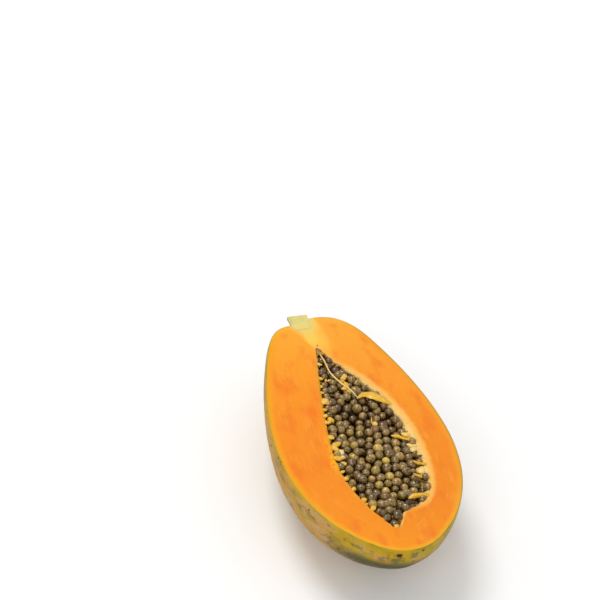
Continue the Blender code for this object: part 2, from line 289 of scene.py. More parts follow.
def ripple(points, size, offset=0.0):
    """Smooth noise from about -1 to 1 at these points, with features of this size."""
    shift = Vector((offset, -offset, 2 * offset))
    return np.array([noise.noise(Vector(p) / size + shift) for p in points])


def climb(value, low, high):
    """A straight climb from 0 to 1 while the value goes from low to high."""
    return np.clip((value - low) / (high - low), 0, 1)


def at_height(loop, height):
    """A flat loop as points at this height."""
    return np.column_stack([loop[:, :2], np.full(len(loop), height)])


def room_within(places, wall):
    """How far each place lies inside the wall, below zero outside it, and the way inwards."""
    finish = np.roll(wall, -1, 0)
    span = finish - wall
    reach = places[:, None] - wall
    share = np.clip((reach * span).sum(2) / (span**2).sum(1), 0, 1)
    away = reach - share[..., None] * span
    distance = np.linalg.norm(away, axis=2)
    nearest = distance.argmin(1)
    rows = np.arange(len(places))
    distance, away = distance[rows, nearest], away[rows, nearest]
    x, y = places[:, :1], places[:, 1:]
    straddles = (wall[:, 1] > y) != (finish[:, 1] > y)
    rise = np.where(span[:, 1] == 0, 1.0, span[:, 1])
    crossing = wall[:, 0] + (y - wall[:, 1]) * span[:, 0] / rise
    side = np.where((straddles & (x < crossing)).sum(1) % 2 == 1, 1.0, -1.0)
    return side * distance, away * (side / np.maximum(distance, 1e-9))[:, None]


def cavity_ring(rim, depth):
    """The cavity's outline at a depth below the cut face, drawn in towards its middle."""
    middle = np.array(CAVITY_MIDDLE)
    flat = middle + (rim - middle) * math.sqrt(1 - (depth / CAVITY_DEPTH) ** 2)
    return np.column_stack([flat, np.full(len(flat), CUT_HEIGHT - depth)])


def loft(name, rings, start, end):
    """A closed piece over a row of rings, with a fan to a point at each end."""
    count = len(rings[0])
    points = np.vstack([start, *rings, end])
    last = len(points) - 1
    faces = [(0, 1 + (i + 1) % count, 1 + i) for i in range(count)]
    for ring in range(len(rings) - 1):
        low = 1 + ring * count
        for i in range(count):
            j = (i + 1) % count
            faces.append((low + i, low + j, low + count + j, low + count + i))
    faces += [(last, last - count + i, last - count + (i + 1) % count) for i in range(count)]
    return new_piece(name, points, faces)


def new_piece(name, points, faces):
    """A smooth-shaded object in the scene that rides with the fruit."""
    mesh = bpy.data.meshes.new(name)
    mesh.from_pydata(np.asarray(points).tolist(), [], faces)
    mesh.shade_smooth()
    made = bpy.data.objects.new(name, mesh)
    bpy.context.scene.collection.objects.link(made)
    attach(made, "root")
    return made


def note_values(piece, name, values):
    """Keeps one number, or one vector, for each point of the piece, for its material."""
    values = np.asarray(values, float)
    kind, field = ("FLOAT", "value") if values.ndim == 1 else ("FLOAT_VECTOR", "vector")
    kept = piece.data.attributes.new(name, kind, "POINT")
    kept.data.foreach_set(field, values.ravel())


MM = 1000.0
rim_flat = smooth_loop(CAVITY_RIM, SPOKES)
outline = back_ring(0.0, CUT_HEIGHT)
rest_ring = back_ring(0.0, 0.0)
rest_middle = np.array([*HUB, 0.0])
rings = [rest_middle + (rest_ring - rest_middle) * share for share in REST_SHARES]
rings.append(rest_ring)
for k in range(1, BACK_RINGS):
    ring = back_ring(REST_DIP * (1 - k / BACK_RINGS), CUT_HEIGHT)
    outward = unit_rows(ring - np.array([*HUB, AXIS_HEIGHT]))
    dent = SKIN_DENT * ripple(ring, SKIN_DENT_SIZE) - SKIN_DENT
    dent *= climb(ring[:, 2], 0.0, REST_CLEAR) * math.sin(math.pi * k / BACK_RINGS) ** 0.5
    rings.append(ring + outward * dent[:, None])
for turn in EDGE_TURNS:
    inset = EDGE_ROUNDING * (1 - math.cos(math.radians(turn)))
    sink = EDGE_ROUNDING * (1 - math.sin(math.radians(turn)))
    rings.append(at_height(drawn_in(outline, inset), CUT_HEIGHT - sink))
skin_rings = len(rings) - 1
ragged = LIP_RAGGED * ripple(at_height(rim_flat, 0.0), LIP_RAGGED_SIZES[0])
ragged += 0.5 * LIP_RAGGED * ripple(at_height(rim_flat, 0.0), LIP_RAGGED_SIZES[1], 5.0)
lip = drawn_in(at_height(rim_flat, CUT_HEIGHT), ragged)
lip_outside = drawn_in(lip, -LIP_ROUNDING)
inward = drawn_in(lip, 1.0) - lip
far_side = climb(inward[:, 1], *LEDGE_FACING)
far_side *= climb(lip[:, 0], *LEDGE_FROM) * climb(lip[:, 0], *LEDGE_TO)
ledge = LEDGE[0] + (LEDGE[1] - LEDGE[0]) * far_side
edge = rings[-1]
for k in range(1, FACE_RINGS + 1):
    share = k / FACE_RINGS
    ring = edge * (1 - share) + lip_outside * share
    wave = FACE_WAVE * ripple(ring, FACE_WAVE_SIZE, 3.0) - FACE_WAVE
    ring[:, 2] += wave * math.sin(math.pi * share) ** 0.5
    rings.append(ring)
face_rings = len(rings)
for turn in LIP_TURNS:
    inset = LIP_ROUNDING * (1 - math.sin(math.radians(turn)))
    sink = LIP_ROUNDING * (1 - math.cos(math.radians(turn)))
    rings.append(at_height(drawn_in(lip, -inset), CUT_HEIGHT - sink))
for k in range(1, WALL_RINGS + 1):
    depth = (k / (WALL_RINGS + 1)) ** WALL_CROWDING
    depth = LIP_ROUNDING + (CAVITY_DEPTH - LIP_ROUNDING) * depth
    wall = cavity_ring(rim_flat, depth)
    rough = ragged * math.exp(-depth / RAGGED_FADE)
    rough = rough + WALL_ROUGH * ripple(wall * np.array([1, 1, 0.5]), WALL_ROUGH_SIZE, 9.0)
    rough = rough + LEDGE_ROUGH * ledge * ripple(wall, LEDGE_ROUGH_SIZE, 12.0)
    swollen = math.sin(math.pi / 2 * min(depth / LEDGE_DEPTH, 1))
    rough = rough + ledge * swollen * max(0.0, 1 - depth / LEDGE_FOOT)
    rings.append(drawn_in(wall, rough))
bottom = np.array([*CAVITY_MIDDLE, CUT_HEIGHT - CAVITY_DEPTH])
fruit = loft("half_fruit_body", rings, rest_middle, bottom)
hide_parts("half_fruit")

under_skin = [np.zeros(1)]
past_rim = [np.full(1, FAR_FROM_RIM)]
for number, ring in enumerate(rings):
    if number < skin_rings:
        under_skin.append(np.zeros(SPOKES))
        past_rim.append(np.full(SPOKES, FAR_FROM_RIM))
    elif number < face_rings:
        under_skin.append(room_within(ring[:, :2], outline[:, :2])[0] * MM)
        past_rim.append(-room_within(ring[:, :2], rim_flat)[0] * MM)
    else:
        under_skin.append(np.full(SPOKES, DEEP_UNDER_SKIN))
        past_rim.append((ring[:, 2] - CUT_HEIGHT) * MM)
under_skin.append(np.full(1, DEEP_UNDER_SKIN))
past_rim.append(np.full(1, -CAVITY_DEPTH * MM))
note_values(fruit, "under_skin", np.concatenate(under_skin))
note_values(fruit, "past_rim", np.concatenate(past_rim))
for face in fruit.data.polygons:
    face.material_index = int(face.vertices[0] > skin_rings * SPOKES)


def screen(shade):
    """A colour given as three screen values from 0 to 255, in the shaders' linear light."""
    parts = [part / 255 for part in shade]
    return (*[p / 12.92 if p < 0.04045 else ((p + 0.055) / 1.055) ** 2.4 for p in parts], 1.0)


class Finish:
    """A material that is built up node by node. Places and sizes in it are in millimetres."""

    def __init__(self, name, **sockets):
        self.material = bpy.data.materials.new(name)
        self.material.use_nodes = True
        self.tree = self.material.node_tree
        self.shader = self.tree.nodes["Principled BSDF"]
        for socket, value in sockets.items():
            self.shader.inputs[socket.replace("_", " ")].default_value = value

    def node(self, kind, inputs, output=0, **settings):
        """Adds a node: its sockets are linked or set, and one of its outputs comes back."""
        made = self.tree.nodes.new("ShaderNode" + kind)
        for key, value in settings.items():
            setattr(made, key, value)
        for key, value in inputs.items():
            if isinstance(value, bpy.types.NodeSocket):
                self.tree.links.new(value, made.inputs[key])
            else:
                made.inputs[key].default_value = value
        return made.outputs[output]

    def place(self):
        """The place on the object."""
        where = self.node("TexCoord", {}, "Object")
        return self.node("VectorMath", {0: where, "Scale": MM}, operation="SCALE")

    def part(self, vector, axis):
        return self.node("SeparateXYZ", {0: vector}, axis)

    def noted(self, name, output="Fac"):
        """A number or a vector that was kept for each point."""
        return self.node("Attribute", {}, output, attribute_name=name)

    def math(self, operation, first, second=0.0):
        return self.node("Math", {0: first, 1: second}, operation=operation)

    def plus(self, first, second):
        return self.math("ADD", first, second)

    def minus(self, first, second):
        return self.math("SUBTRACT", first, second)

    def times(self, *values):
        product = values[0]
        for value in values[1:]:
            product = self.math("MULTIPLY", product, value)
        return product

    def about_zero(self, value, reach):
        """A value from 0 to 1 made into one that swings this far about zero."""
        return self.times(self.minus(value, 0.5), reach)

    def distance(self, vector, spot):
        return self.node("VectorMath", {0: vector, 1: spot}, "Value", operation="DISTANCE")

    def stretched(self, vector, scale):
        return self.node("VectorMath", {0: vector, 1: scale}, operation="MULTIPLY")

    def noise(self, vector, size, detail=2.0, roughness=0.5):
        """Cloudy noise from 0 to 1 with features of this size."""
        inputs = {"Vector": vector, "Scale": 1 / size, "Detail": detail, "Roughness": roughness}
        return self.node("TexNoise", inputs)

    def spots(self, vector, size):
        """How far the nearest of many scattered points is, in shares of their spacing."""
        return self.node("TexVoronoi", {"Vector": vector, "Scale": 1 / size}, "Distance")

    def between(self, value, low, high, top=1.0):
        """A smooth climb from 0 to top while the value goes from low to high."""
        ends = {"Value": value, "From Min": low, "From Max": high, "To Max": top}
        return self.node("MapRange", ends, interpolation_type="SMOOTHSTEP")

    def shades(self, value, stops):
        """Screen colours placed along a value."""
        low, high = stops[0][0], stops[-1][0]
        share = self.node("MapRange", {"Value": value, "From Min": low, "From Max": high})
        made = self.tree.nodes.new("ShaderNodeValToRGB")
        self.tree.links.new(share, made.inputs[0])
        band = made.color_ramp.elements
        while len(band) < len(stops):
            band.new(1.0)
        for element, (stop, shade) in zip(band, stops):
            element.position = (stop - low) / (high - low)
            element.color = screen(shade)
        return made.outputs[0]

    def mix(self, share, first, second):
        """The first colour, or the second where the share is 1."""
        colours = [c if isinstance(c, bpy.types.NodeSocket) else screen(c) for c in (first, second)]
        inputs = {0: share, 6: colours[0], 7: colours[1]}
        return self.node("Mix", inputs, 2, data_type="RGBA")

    def tint(self, share, shade):
        """Lays a colour over the one so far, and hides it where the share is 1."""
        self.colour = self.mix(share, self.colour, shade)

    def paint(self):
        """Gives the finished colour to the surface."""
        self.tree.links.new(self.colour, self.shader.inputs["Base Color"])

    def gloss(self, value, low, high):
        """Roughness that runs from low to high with a value from 0 to 1."""
        rough = self.node("MapRange", {"Value": value, "To Min": low, "To Max": high})
        self.tree.links.new(rough, self.shader.inputs["Roughness"])

    def relief(self, *layers):
        """Bumps, each given by a value from 0 to 1 and its height in millimetres."""
        normal = None
        for value, height in layers:
            inputs = {"Height": value, "Distance": height / MM, "Strength": 1.0}
            if normal is not None:
                inputs["Normal"] = normal
            normal = self.node("Bump", inputs)
        self.tree.links.new(normal, self.shader.inputs["Normal"])


# Skin: yellow when ripe, still green in patches, with small brown-green specks and faint
# streaks along the fruit.
skin = Finish("papaya_skin", Roughness=0.5, Specular_IOR_Level=0.12)
place = skin.place()
height = skin.part(place, "Z")
along = skin.part(place, "X")
broad = skin.noise(place, 26.0, 3.0)
skin.colour = skin.shades(broad, [
    (0.30, (176, 124, 16)),
    (0.45, (190, 138, 14)),
    (0.55, (182, 140, 26)),
    (0.70, (152, 130, 22)),
])
to_stem = skin.between(along, 0.0, -36.0)
tan = skin.between(skin.noise(skin.stretched(place, (0.7, 1, 1)), 9.0, 3.0), 0.44, 0.62, 0.8)
skin.tint(skin.times(tan, to_stem), (194, 154, 100))
pink = skin.between(skin.noise(skin.stretched(place, (0.6, 1, 1)), 11.0, 2.0), 0.58, 0.72, 0.6)
skin.tint(skin.times(pink, to_stem), (208, 150, 118))
green_noise = skin.noise(skin.stretched(place, (0.6, 1, 1)), 13.0, 4.0, 0.6)
to_ends = skin.between(skin.math("ABSOLUTE", skin.plus(along, 2.0)), 40.0, 88.0, 0.14)
green = skin.between(skin.plus(green_noise, to_ends), 0.55, 0.72, 0.85)
skin.tint(green, skin.shades(broad, [(0.3, (76, 92, 22)), (0.7, (122, 128, 34))]))
grey_noise = skin.noise(skin.stretched(place, (0.35, 1, 1)), 4.6, 4.0, 0.62)
skin.tint(skin.between(grey_noise, 0.53, 0.64, 0.7), (100, 102, 56))
streaks = skin.noise(skin.stretched(place, (0.07, 1, 1)), 1.3, 3.0)
skin.tint(skin.between(streaks, 0.50, 0.72, 0.5), (150, 116, 40))
blossom_end = skin.times(
    skin.between(height, 35.0, 43.0),
    skin.between(along, -54.0, -74.0, 0.85),
    skin.between(grey_noise, 0.60, 0.44, 0.9),
)
skin.tint(blossom_end, (192, 160, 4))
# The blossom end's underside darkened to a near-black green: partly the skin's own dark green, partly
# a painted contact shadow
low_reach = skin.plus(height, skin.times(grey_noise, 8.0))
shadowed_low_end = skin.between(along, -56.0, -74.0, 0.85)
shadowed_low_end = skin.times(skin.between(low_reach, 47.0, 37.0), shadowed_low_end)
skin.tint(shadowed_low_end, (52, 50, 12))
edge_reach = skin.plus(height, skin.times(grey_noise, 4.0))
edge_shade = skin.shades(green_noise, [(0.4, (196, 158, 30)), (0.6, (150, 138, 34))])
skin.tint(skin.between(edge_reach, 50.2, 52.4, 0.8), edge_shade)
fine = skin.noise(place, 0.9, 3.0)
skin.tint(skin.between(fine, 0.45, 0.8, 0.22), (130, 104, 34))
speck_room = skin.noise(place, 11.0, 2.0)
for size, reach, share in ((5.2, 0.22, 0.9), (2.9, 0.22, 0.85), (1.8, 0.19, 0.7)):
    distance = skin.plus(skin.spots(place, size), skin.times(fine, 0.10))
    reach_here = skin.times(skin.between(speck_room, 0.36, 0.62), reach)
    speck = skin.between(skin.minus(reach_here, distance), -0.05, 0.05, share)
    skin.tint(speck, (54, 46, 16))
skin.paint()
skin.gloss(fine, 0.36, 0.54)
skin.relief((fine, 0.05), (skin.noise(place, 0.28, 2.0), 0.02), (streaks, 0.04))
fruit.data.materials.append(skin.material)

# Flesh: deep orange, paler towards the stem, yellow under the skin, with a pale core below
# the stalk; in the cavity it turns to cream, fibrous pulp, with painted shade darkening it deeper
# down between the seeds.
DEEP_FLESH = [
    ((33.1, 29.9), 9.0),
    ((14.9, 21.6), 8.0),
    ((-51.5, -21.1), 9.0),
    ((-23.5, 23.4), 7.0),
]
PIT = (62.2, 1.6, 0.0)

flesh = Finish(
    "papaya_flesh",
    Roughness=0.42,
    Subsurface_Weight=0.25,
    Subsurface_Radius=(1.0, 0.36, 0.12),
    Subsurface_Scale=0.004,
    Specular_IOR_Level=0.22,
    Coat_Weight=0.05,
    Coat_Roughness=0.25,
)
place = flesh.place()
x, y = flesh.part(place, "X"), flesh.part(place, "Y")
gap = flesh.noted("under_skin")
rim = flesh.noted("past_rim")
waver = flesh.about_zero(flesh.noise(place, 2.6, 3.0), 1.0)
near = flesh.between(y, -14.0, 14.0)
# The far half of the cut face is a little greyer and bluer than the near half; that difference is
# partly painted sheen
inner_near = flesh.shades(x, [
    (-88, (243, 148, 12)),
    (-62, (242, 142, 14)),
    (-25, (241, 138, 12)),
    (15, (243, 142, 12)),
    (45, (245, 152, 22)),
    (70, (246, 164, 38)),
])
inner_far = flesh.shades(x, [
    (-88, (242, 147, 16)),
    (-62, (238, 136, 18)),
    (-25, (238, 137, 16)),
    (15, (243, 147, 24)),
    (45, (245, 154, 32)),
    (70, (246, 163, 40)),
])
flesh.colour = flesh.mix(near, inner_far, inner_near)
clouds = flesh.noise(flesh.stretched(place, (0.5, 1, 1)), 7.5, 3.0)
flesh.tint(flesh.between(clouds, 0.48, 0.72, 0.65), (234, 114, 20))
light_clouds = flesh.noise(flesh.stretched(place, (0.35, 1, 0.7)), 5.5, 2.0)
flesh.tint(flesh.between(light_clouds, 0.55, 0.76, 0.35), (249, 166, 58))
vein_place = flesh.node("CombineXYZ", {0: flesh.times(x, 0.07), 1: gap, 2: near})
veins = flesh.noise(vein_place, 0.75, 3.0, 0.6)
veins = flesh.times(flesh.between(veins, 0.56, 0.72), flesh.between(gap, 3.0, 7.0, 0.40))
flesh.tint(veins, (251, 168, 66))
for spot, reach in DEEP_FLESH:
    away = flesh.distance(place, (*spot, CUT_HEIGHT * MM))
    away = flesh.plus(away, flesh.times(waver, 6.0))
    flesh.tint(flesh.between(away, reach, 0.0, 0.55), (240, 108, 4))
grain = flesh.noise(place, 0.55, 3.0)
flesh.tint(flesh.between(grain, 0.48, 0.80, 0.30), (230, 120, 14))
edge_near = flesh.shades(gap, [
    (0.0, (196, 160, 34)),
    (0.7, (226, 160, 18)),
    (2.0, (240, 158, 8)),
    (3.4, (244, 153, 10)),
    (6.0, (243, 144, 12)),
])
# The far half of the yellow band under the skin is bluer than the near half, partly painted sheen
edge_far = flesh.shades(gap, [
    (0.0, (186, 136, 34)),
    (0.7, (214, 146, 34)),
    (1.8, (236, 154, 28)),
    (3.0, (241, 151, 24)),
    (5.0, (242, 145, 24)),
])
edge_colour = flesh.mix(near, edge_far, edge_near)
stem_edge = flesh.mix(near, (248, 180, 56), (248, 182, 50))
edge_colour = flesh.mix(flesh.between(x, 62.0, 82.0, 0.6), edge_colour, stem_edge)
edge_reach = flesh.plus(gap, flesh.times(waver, 3.0))
edge_reach = flesh.minus(edge_reach, flesh.between(x, 62.0, 84.0, 2.5))
edge_colour = flesh.mix(flesh.between(x, -40.0, -72.0, 0.5), edge_colour, (242, 184, 34))
edge_reach = flesh.plus(edge_reach, flesh.between(x, -40.0, -72.0, 1.3))
flesh.colour = flesh.mix(flesh.between(edge_reach, 1.6, 5.0), edge_colour, flesh.colour)

# The pale core between the stalk and the cavity's tip, with a yellow band beside it
core_ends = {"Value": x, "From Min": 60.0, "From Max": 82.0}
core_y = flesh.node("MapRange", {**core_ends, "To Min": 1.8, "To Max": 4.7})
core_half = flesh.node("MapRange", {**core_ends, "To Min": 1.5, "To Max": 5.7})
core_off = flesh.math("ABSOLUTE", flesh.minus(y, core_y))
core_waver = flesh.about_zero(clouds, 7.0)
core_off = flesh.plus(core_off, flesh.plus(core_waver, waver))
core_off = flesh.math("DIVIDE", core_off, core_half)
halo_off = flesh.math("ABSOLUTE", flesh.plus(flesh.minus(y, core_y), 3.4))
halo = flesh.between(flesh.plus(halo_off, core_waver), 7.5, 2.0)
halo = flesh.times(halo, flesh.between(x, 48.0, 64.0, 0.85))
flesh.tint(halo, (250, 188, 70))
core = flesh.times(flesh.between(core_off, 1.7, 0.6), flesh.between(x, 57.0, 66.0, 0.95))
CORE_SHADES = [
    (58, (247, 186, 56)),
    (66, (244, 198, 78)),
    (74, (236, 203, 100)),
    (82, (224, 208, 124)),
]
flesh.tint(core, flesh.shades(x, CORE_SHADES))
pit_reach = flesh.distance(flesh.stretched(place, (1, 1, 0)), PIT)
flesh.tint(flesh.between(pit_reach, 0.7, 0.3, 0.8), (96, 60, 18))

# The rim of the cavity: yellow pulp, thick and bright along one stretch of it
rim_reach = flesh.plus(rim, flesh.times(waver, 2.4))
rim_colour = flesh.mix(near, (246, 184, 86), (226, 152, 34))
far_reach = flesh.minus(rim_reach, flesh.between(y, 2.0, -10.0, 1.1))
rim_band = flesh.times(
    flesh.between(far_reach, 2.8, -0.2),
    flesh.between(x, 60.0, 36.0),
    flesh.between(x, -66.0, -56.0),
)
flesh.tint(rim_band, rim_colour)
bright_reach = flesh.plus(rim_reach, flesh.about_zero(clouds, 6.0))
bright = flesh.times(
    flesh.between(x, -34.0, -24.0),
    flesh.between(x, -2.0, -9.0),
    flesh.between(y, 8.0, 12.0),
    flesh.between(bright_reach, 4.2, 1.6),
    flesh.between(flesh.noise(place, 1.7, 3.0), 0.36, 0.56, 0.9),
)
flesh.tint(bright, (247, 176, 14))
wall_fibres = flesh.noise(flesh.stretched(place, (1, 1, 0.25)), 0.8, 3.0)
# Painted shade: the cavity wall darkens with depth below the rim, to near black deep down
wall_colour = flesh.shades(rim, [
    (-16.0, (58, 34, 14)),
    (-9.5, (120, 74, 26)),
    (-6.5, (206, 148, 60)),
    (-4.6, (248, 204, 110)),
    (-2.6, (250, 216, 140)),
    (-1.0, (250, 206, 126)),
    (-0.3, (248, 190, 92)),
])
wall_colour = flesh.mix(flesh.between(wall_fibres, 0.52, 0.72, 0.5), wall_colour, (240, 180, 60))
wall_colour = flesh.mix(flesh.between(y, 4.0, 9.0), wall_colour, (244, 168, 22))
tip_wall = flesh.times(flesh.between(x, 18.0, 40.0), flesh.between(rim, -0.8, -2.2, 0.9))
wall_colour = flesh.mix(tip_wall, wall_colour, (110, 48, 18))
flecks = flesh.plus(flesh.spots(place, 2.0), flesh.times(waver, 0.4))
flecks = flesh.times(flesh.between(flecks, 0.26, 0.16), flesh.between(rim, -0.5, -1.6, 0.85))
wall_colour = flesh.mix(flecks, wall_colour, (128, 84, 34))
flesh.tint(flesh.between(rim_reach, 0.3, -0.6), wall_colour)
tip_dark = flesh.times(flesh.between(x, 50.0, 57.0), flesh.between(rim, -0.1, -0.7, 0.9))
flesh.tint(tip_dark, (104, 46, 16))
flesh.paint()
flesh.gloss(clouds, 0.36, 0.50)
pores = flesh.noise(place, 1.6, 2.0)
wall_relief = flesh.times(wall_fibres, flesh.between(rim, 0.0, -1.0))
flesh.relief((grain, 0.06), (pores, 0.10), (wall_relief, 0.35))
fruit.data.materials.append(flesh.material)

# The blossom scar. Where the flower's remains dried on and fell away, a small, round, crumbly
# dark crust stays on the skin at the end, just below the cut.
SCAR_PLACE = (0.0070, CUT_HEIGHT - 0.0036)
SCAR_LOBES = [
    (0.0000, 0.0000),
    (-0.0008, 0.0001),
    (-0.0004, -0.0006),
    (0.0005, -0.0005),
    (0.0009, 0.0002),
    (0.0002, 0.0006),
    (-0.0006, 0.0006),
]
SCAR_LOBE_SIZE = (0.0005, 0.00075, 0.00065)
SCAR_WAVE = (0.22, 0.6)
SCAR_WAVE_STEP = 5
SCAR_LESSER = 0.12
SCAR_INSIDE_X = -0.04
SCAR_RAY = (-0.2, 0.0, 0.0)


def ball(around, bands):
    """The points of a unit ball, pole to pole along X, and its faces."""
    points = [(1.0, 0.0, 0.0)]
    for band in range(1, bands):
        tilt = math.pi * band / bands
        for step in range(around):
            turn = 2 * math.pi * step / around
            wide = math.sin(tilt)
            points.append((math.cos(tilt), wide * math.cos(turn), wide * math.sin(turn)))
    points.append((-1.0, 0.0, 0.0))
    last = len(points) - 1
    faces = []
    for step in range(around):
        beside = (step + 1) % around
        faces.append((0, 1 + step, 1 + beside))
        for band in range(bands - 2):
            low = 1 + band * around
            faces.append((low + step, low + around + step, low + around + beside, low + beside))
        faces.append((last, last - around + beside, last - around + step))
    return np.array(points), faces


def lumpy(points, offset, *waves):
    """A ball's points with lumps on it, from waves that are pairs of a height and a size."""
    swell = 1 + sum(height * ripple(points + offset, size) for height, size in waves)
    return points * swell[:, None]


class Heap:
    """Many small closed bodies gathered into one piece, with a few numbers for each point."""

    def __init__(self):
        self.points = []
        self.faces = []
        self.notes = {}
        self.size = 0

    def add(self, points, faces, **notes):
        self.points.append(points)
        self.faces += [tuple(corner + self.size for corner in face) for face in faces]
        self.size += len(points)
        for name, value in notes.items():
            value = np.asarray(value, float)
            if value.ndim == 0:
                value = np.full(len(points), float(value))
            self.notes.setdefault(name, []).append(value)

    def piece(self, name, finish, slot):
        made = new_piece(name, np.vstack(self.points), self.faces)
        for note, values in self.notes.items():
            note_values(made, note, np.concatenate(values))
        made.data.materials.append(finish.material)
        return made


crust = Heap()
unit_points, unit_faces = ball(20, 14)
for number, (aside, above) in enumerate(SCAR_LOBES):
    y, z = SCAR_PLACE[0] + aside, SCAR_PLACE[1] + above
    start = np.array([SCAR_INSIDE_X, y, z])
    spot = reach_skin(start, np.array([SCAR_RAY]))[0]
    lobe = lumpy(unit_points, SCAR_WAVE_STEP * number, SCAR_WAVE)
    lobe = lobe * np.array(SCAR_LOBE_SIZE) * (1.0 - SCAR_LESSER * (number % 2))
    crust.add(spot + lobe, unit_faces)
scar = Finish("dried_crust", Roughness=0.8)
place = scar.place()
crumb = scar.noise(place, 0.35, 3.0)
scar.colour = scar.shades(crumb, [
    (0.35, (30, 20, 12)),
    (0.6, (66, 46, 26)),
    (0.75, (120, 92, 50)),
])
scar.paint()
scar.relief((crumb, 0.12))
crust.piece("blossom_scar", scar, "stalk")

# The stem stub. A green half stalk, cut lengthwise with the fruit and broken off short, with
# ridged bark outside and fibrous, watery wood inside. It widens a little to its end.
STUB_Y = 0.0055
STUB_RADII = [(0.0760, 0.0046), (0.0800, 0.0058), (0.0840, 0.0060), (0.0875, 0.0063)]
STUB_INSET = 0.00015
STUB_RIDGE = 0.00016
STUB_END_ROUGH = 0.00035
STUB_END_SINK = 0.8
STUB_TOP_RISE = 0.00012
STUB_RIDGES = 23
STUB_RIDGE_TWIST = 90
STUB_FIBRE_SIZE = 0.0007
STUB_TORN_SIZE = 0.0012
STUB_END_SHARES = (0.85, 0.6, 0.35)
STUB_ROUND = 84
STUB_TOP = 44
STUB_STEPS = 44

stub_x = np.linspace(STUB_RADII[0][0], STUB_RADII[-1][0] - STUB_INSET, STUB_STEPS)
stub_radius = np.interp(stub_x, *np.array(STUB_RADII).T) - STUB_INSET - STUB_RIDGE
stub_rings = []
for x, radius in zip(stub_x, stub_radius):
    ring = []
    for step in range(STUB_ROUND + 1):
        turn = math.pi * step / STUB_ROUND
        twisted = STUB_RIDGES * turn + STUB_RIDGE_TWIST * x
        ridged = radius + STUB_RIDGE * math.sin(twisted) * math.sin(turn)
        ring.append((x, STUB_Y + ridged * math.cos(turn), CUT_HEIGHT - ridged * math.sin(turn)))
    for step in range(1, STUB_TOP):
        ring.append((x, STUB_Y - radius + 2 * radius * step / STUB_TOP, CUT_HEIGHT))
    ring = np.array(ring)
    across = np.clip(1 - ((ring[:, 1] - STUB_Y) / radius) ** 2, 0, 1)
    top = ring[:, 2] > CUT_HEIGHT - 1e-6
    fibres = ripple(ring * np.array([0.25, 1, 1]), STUB_FIBRE_SIZE, 2.0) + 1
    ring[:, 2] += np.where(top, STUB_TOP_RISE * 0.5 * fibres * np.sqrt(across), 0)
    stub_rings.append(ring)
stub_rings[-1][:, 0] += STUB_END_ROUGH * (ripple(stub_rings[-1], STUB_TORN_SIZE, 7.0) - STUB_END_SINK)
end_middle = stub_rings[-1].mean(0)
for share in STUB_END_SHARES:
    ring = end_middle + (stub_rings[-1] - end_middle) * share
    ring[:, 0] = stub_x[-1] + STUB_END_ROUGH * (ripple(ring, STUB_TORN_SIZE, 7.0) - STUB_END_SINK)
    stub_rings.append(ring)
stub = loft("stem_stub_cut", stub_rings[::-1], end_middle, stub_rings[0].mean(0))
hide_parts("stem_stub")

stalk = Finish(
    "green_stalk",
    Roughness=0.5,
    Subsurface_Weight=0.15,
    Subsurface_Radius=(0.8, 1.0, 0.3),
    Subsurface_Scale=0.002,
)
place = stalk.place()
x, y, z = (stalk.part(place, axis) for axis in "XYZ")
strands = stalk.noise(stalk.stretched(place, (0.12, 1, 1)), 0.55, 3.0)
clouds = stalk.noise(place, 3.0, 2.0)
wood = stalk.shades(strands, [
    (0.35, (206, 196, 110)),
    (0.55, (220, 206, 124)),
    (0.7, (230, 214, 138)),
])
wood = stalk.mix(stalk.between(y, 7.0, 12.0, 0.6), wood, (186, 178, 92))
wood = stalk.mix(stalk.between(y, 4.0, 0.0, 0.5), wood, (236, 206, 118))
wood = stalk.mix(stalk.between(x, 83.0, 80.0, 0.9), wood, stalk.shades(x, CORE_SHADES))
bark = stalk.shades(clouds, [
    (0.35, (108, 116, 62)),
    (0.55, (142, 146, 84)),
    (0.7, (170, 164, 98)),
])
bark = stalk.mix(stalk.between(strands, 0.55, 0.75, 0.5), bark, (104, 92, 48))
stalk.colour = stalk.mix(stalk.between(z, CUT_HEIGHT * MM - 0.9, CUT_HEIGHT * MM - 0.5), bark, wood)
stalk.paint()
stalk.gloss(clouds, 0.42, 0.6)
stalk.relief((strands, 0.18), (stalk.noise(place, 0.3, 2.0), 0.04))
stub.data.materials.append(stalk.material)

# The seeds. Over a hundred and fifty round, ridged seeds, each in its own wet, clear sac,
# pressed together in the cavity. They lie as they grew, in the places that the frame has.
PULP_LEVEL = -0.0038
PULP_SWELLS = [
    (-0.0300, -0.0050, 0.0280, 0.0140, 0.0018),
    (0.0250, -0.0040, 0.0150, 0.0080, 0.0012),
    (-0.0180, -0.0270, 0.0300, 0.0060, -0.0014),
    (0.0065, 0.0000, 0.0075, 0.0040, -0.0042),
]
SEED_HALF_SIZE = (0.0029, 0.0026, 0.0025)
SEED_SIZE_SPREAD = (0.88, 1.05)
SEED_COUNT = 158
SEED_IN_TIP = (0.0540, 0.0020)
SEED_SPACING = 0.0051
SEED_WALL_ROOM = 0.0031
SEED_RISE = (0.0000, 0.0013)
SEED_SHUFFLES = 240
SEED_PUSH = 0.25
SEED_RANDOM = 3
SEED_WALL_POINTS = 288
LEAST_ROOM = 0.0004
SEED_AROUND = 22
SEED_BANDS = 15
SEED_EGG = 0.10
SEED_WAVES = ((0.035, 0.9), (0.014, 0.35))
SEED_WAVE_STEP = 7.3
UNDER_THROWS = 6000
UNDER_RANDOM = 11
UNDER_APART = 0.0046
UNDER_ASIDE = 0.0024
UNDER_REACH = 0.0049
UNDER_RISE = 0.0005
UNDER_SIZE = (0.86, 1.0)
UNDER_PIT = (0.0065, 0.0000, 0.0062)
UPPER_THROWS = 5000
UPPER_RANDOM = 17
UPPER_APART = 0.0068
UPPER_ASIDE = 0.0022
UPPER_REACH = 0.0041
UPPER_TOP = 0.0014
UPPER_ROOM = 0.0016
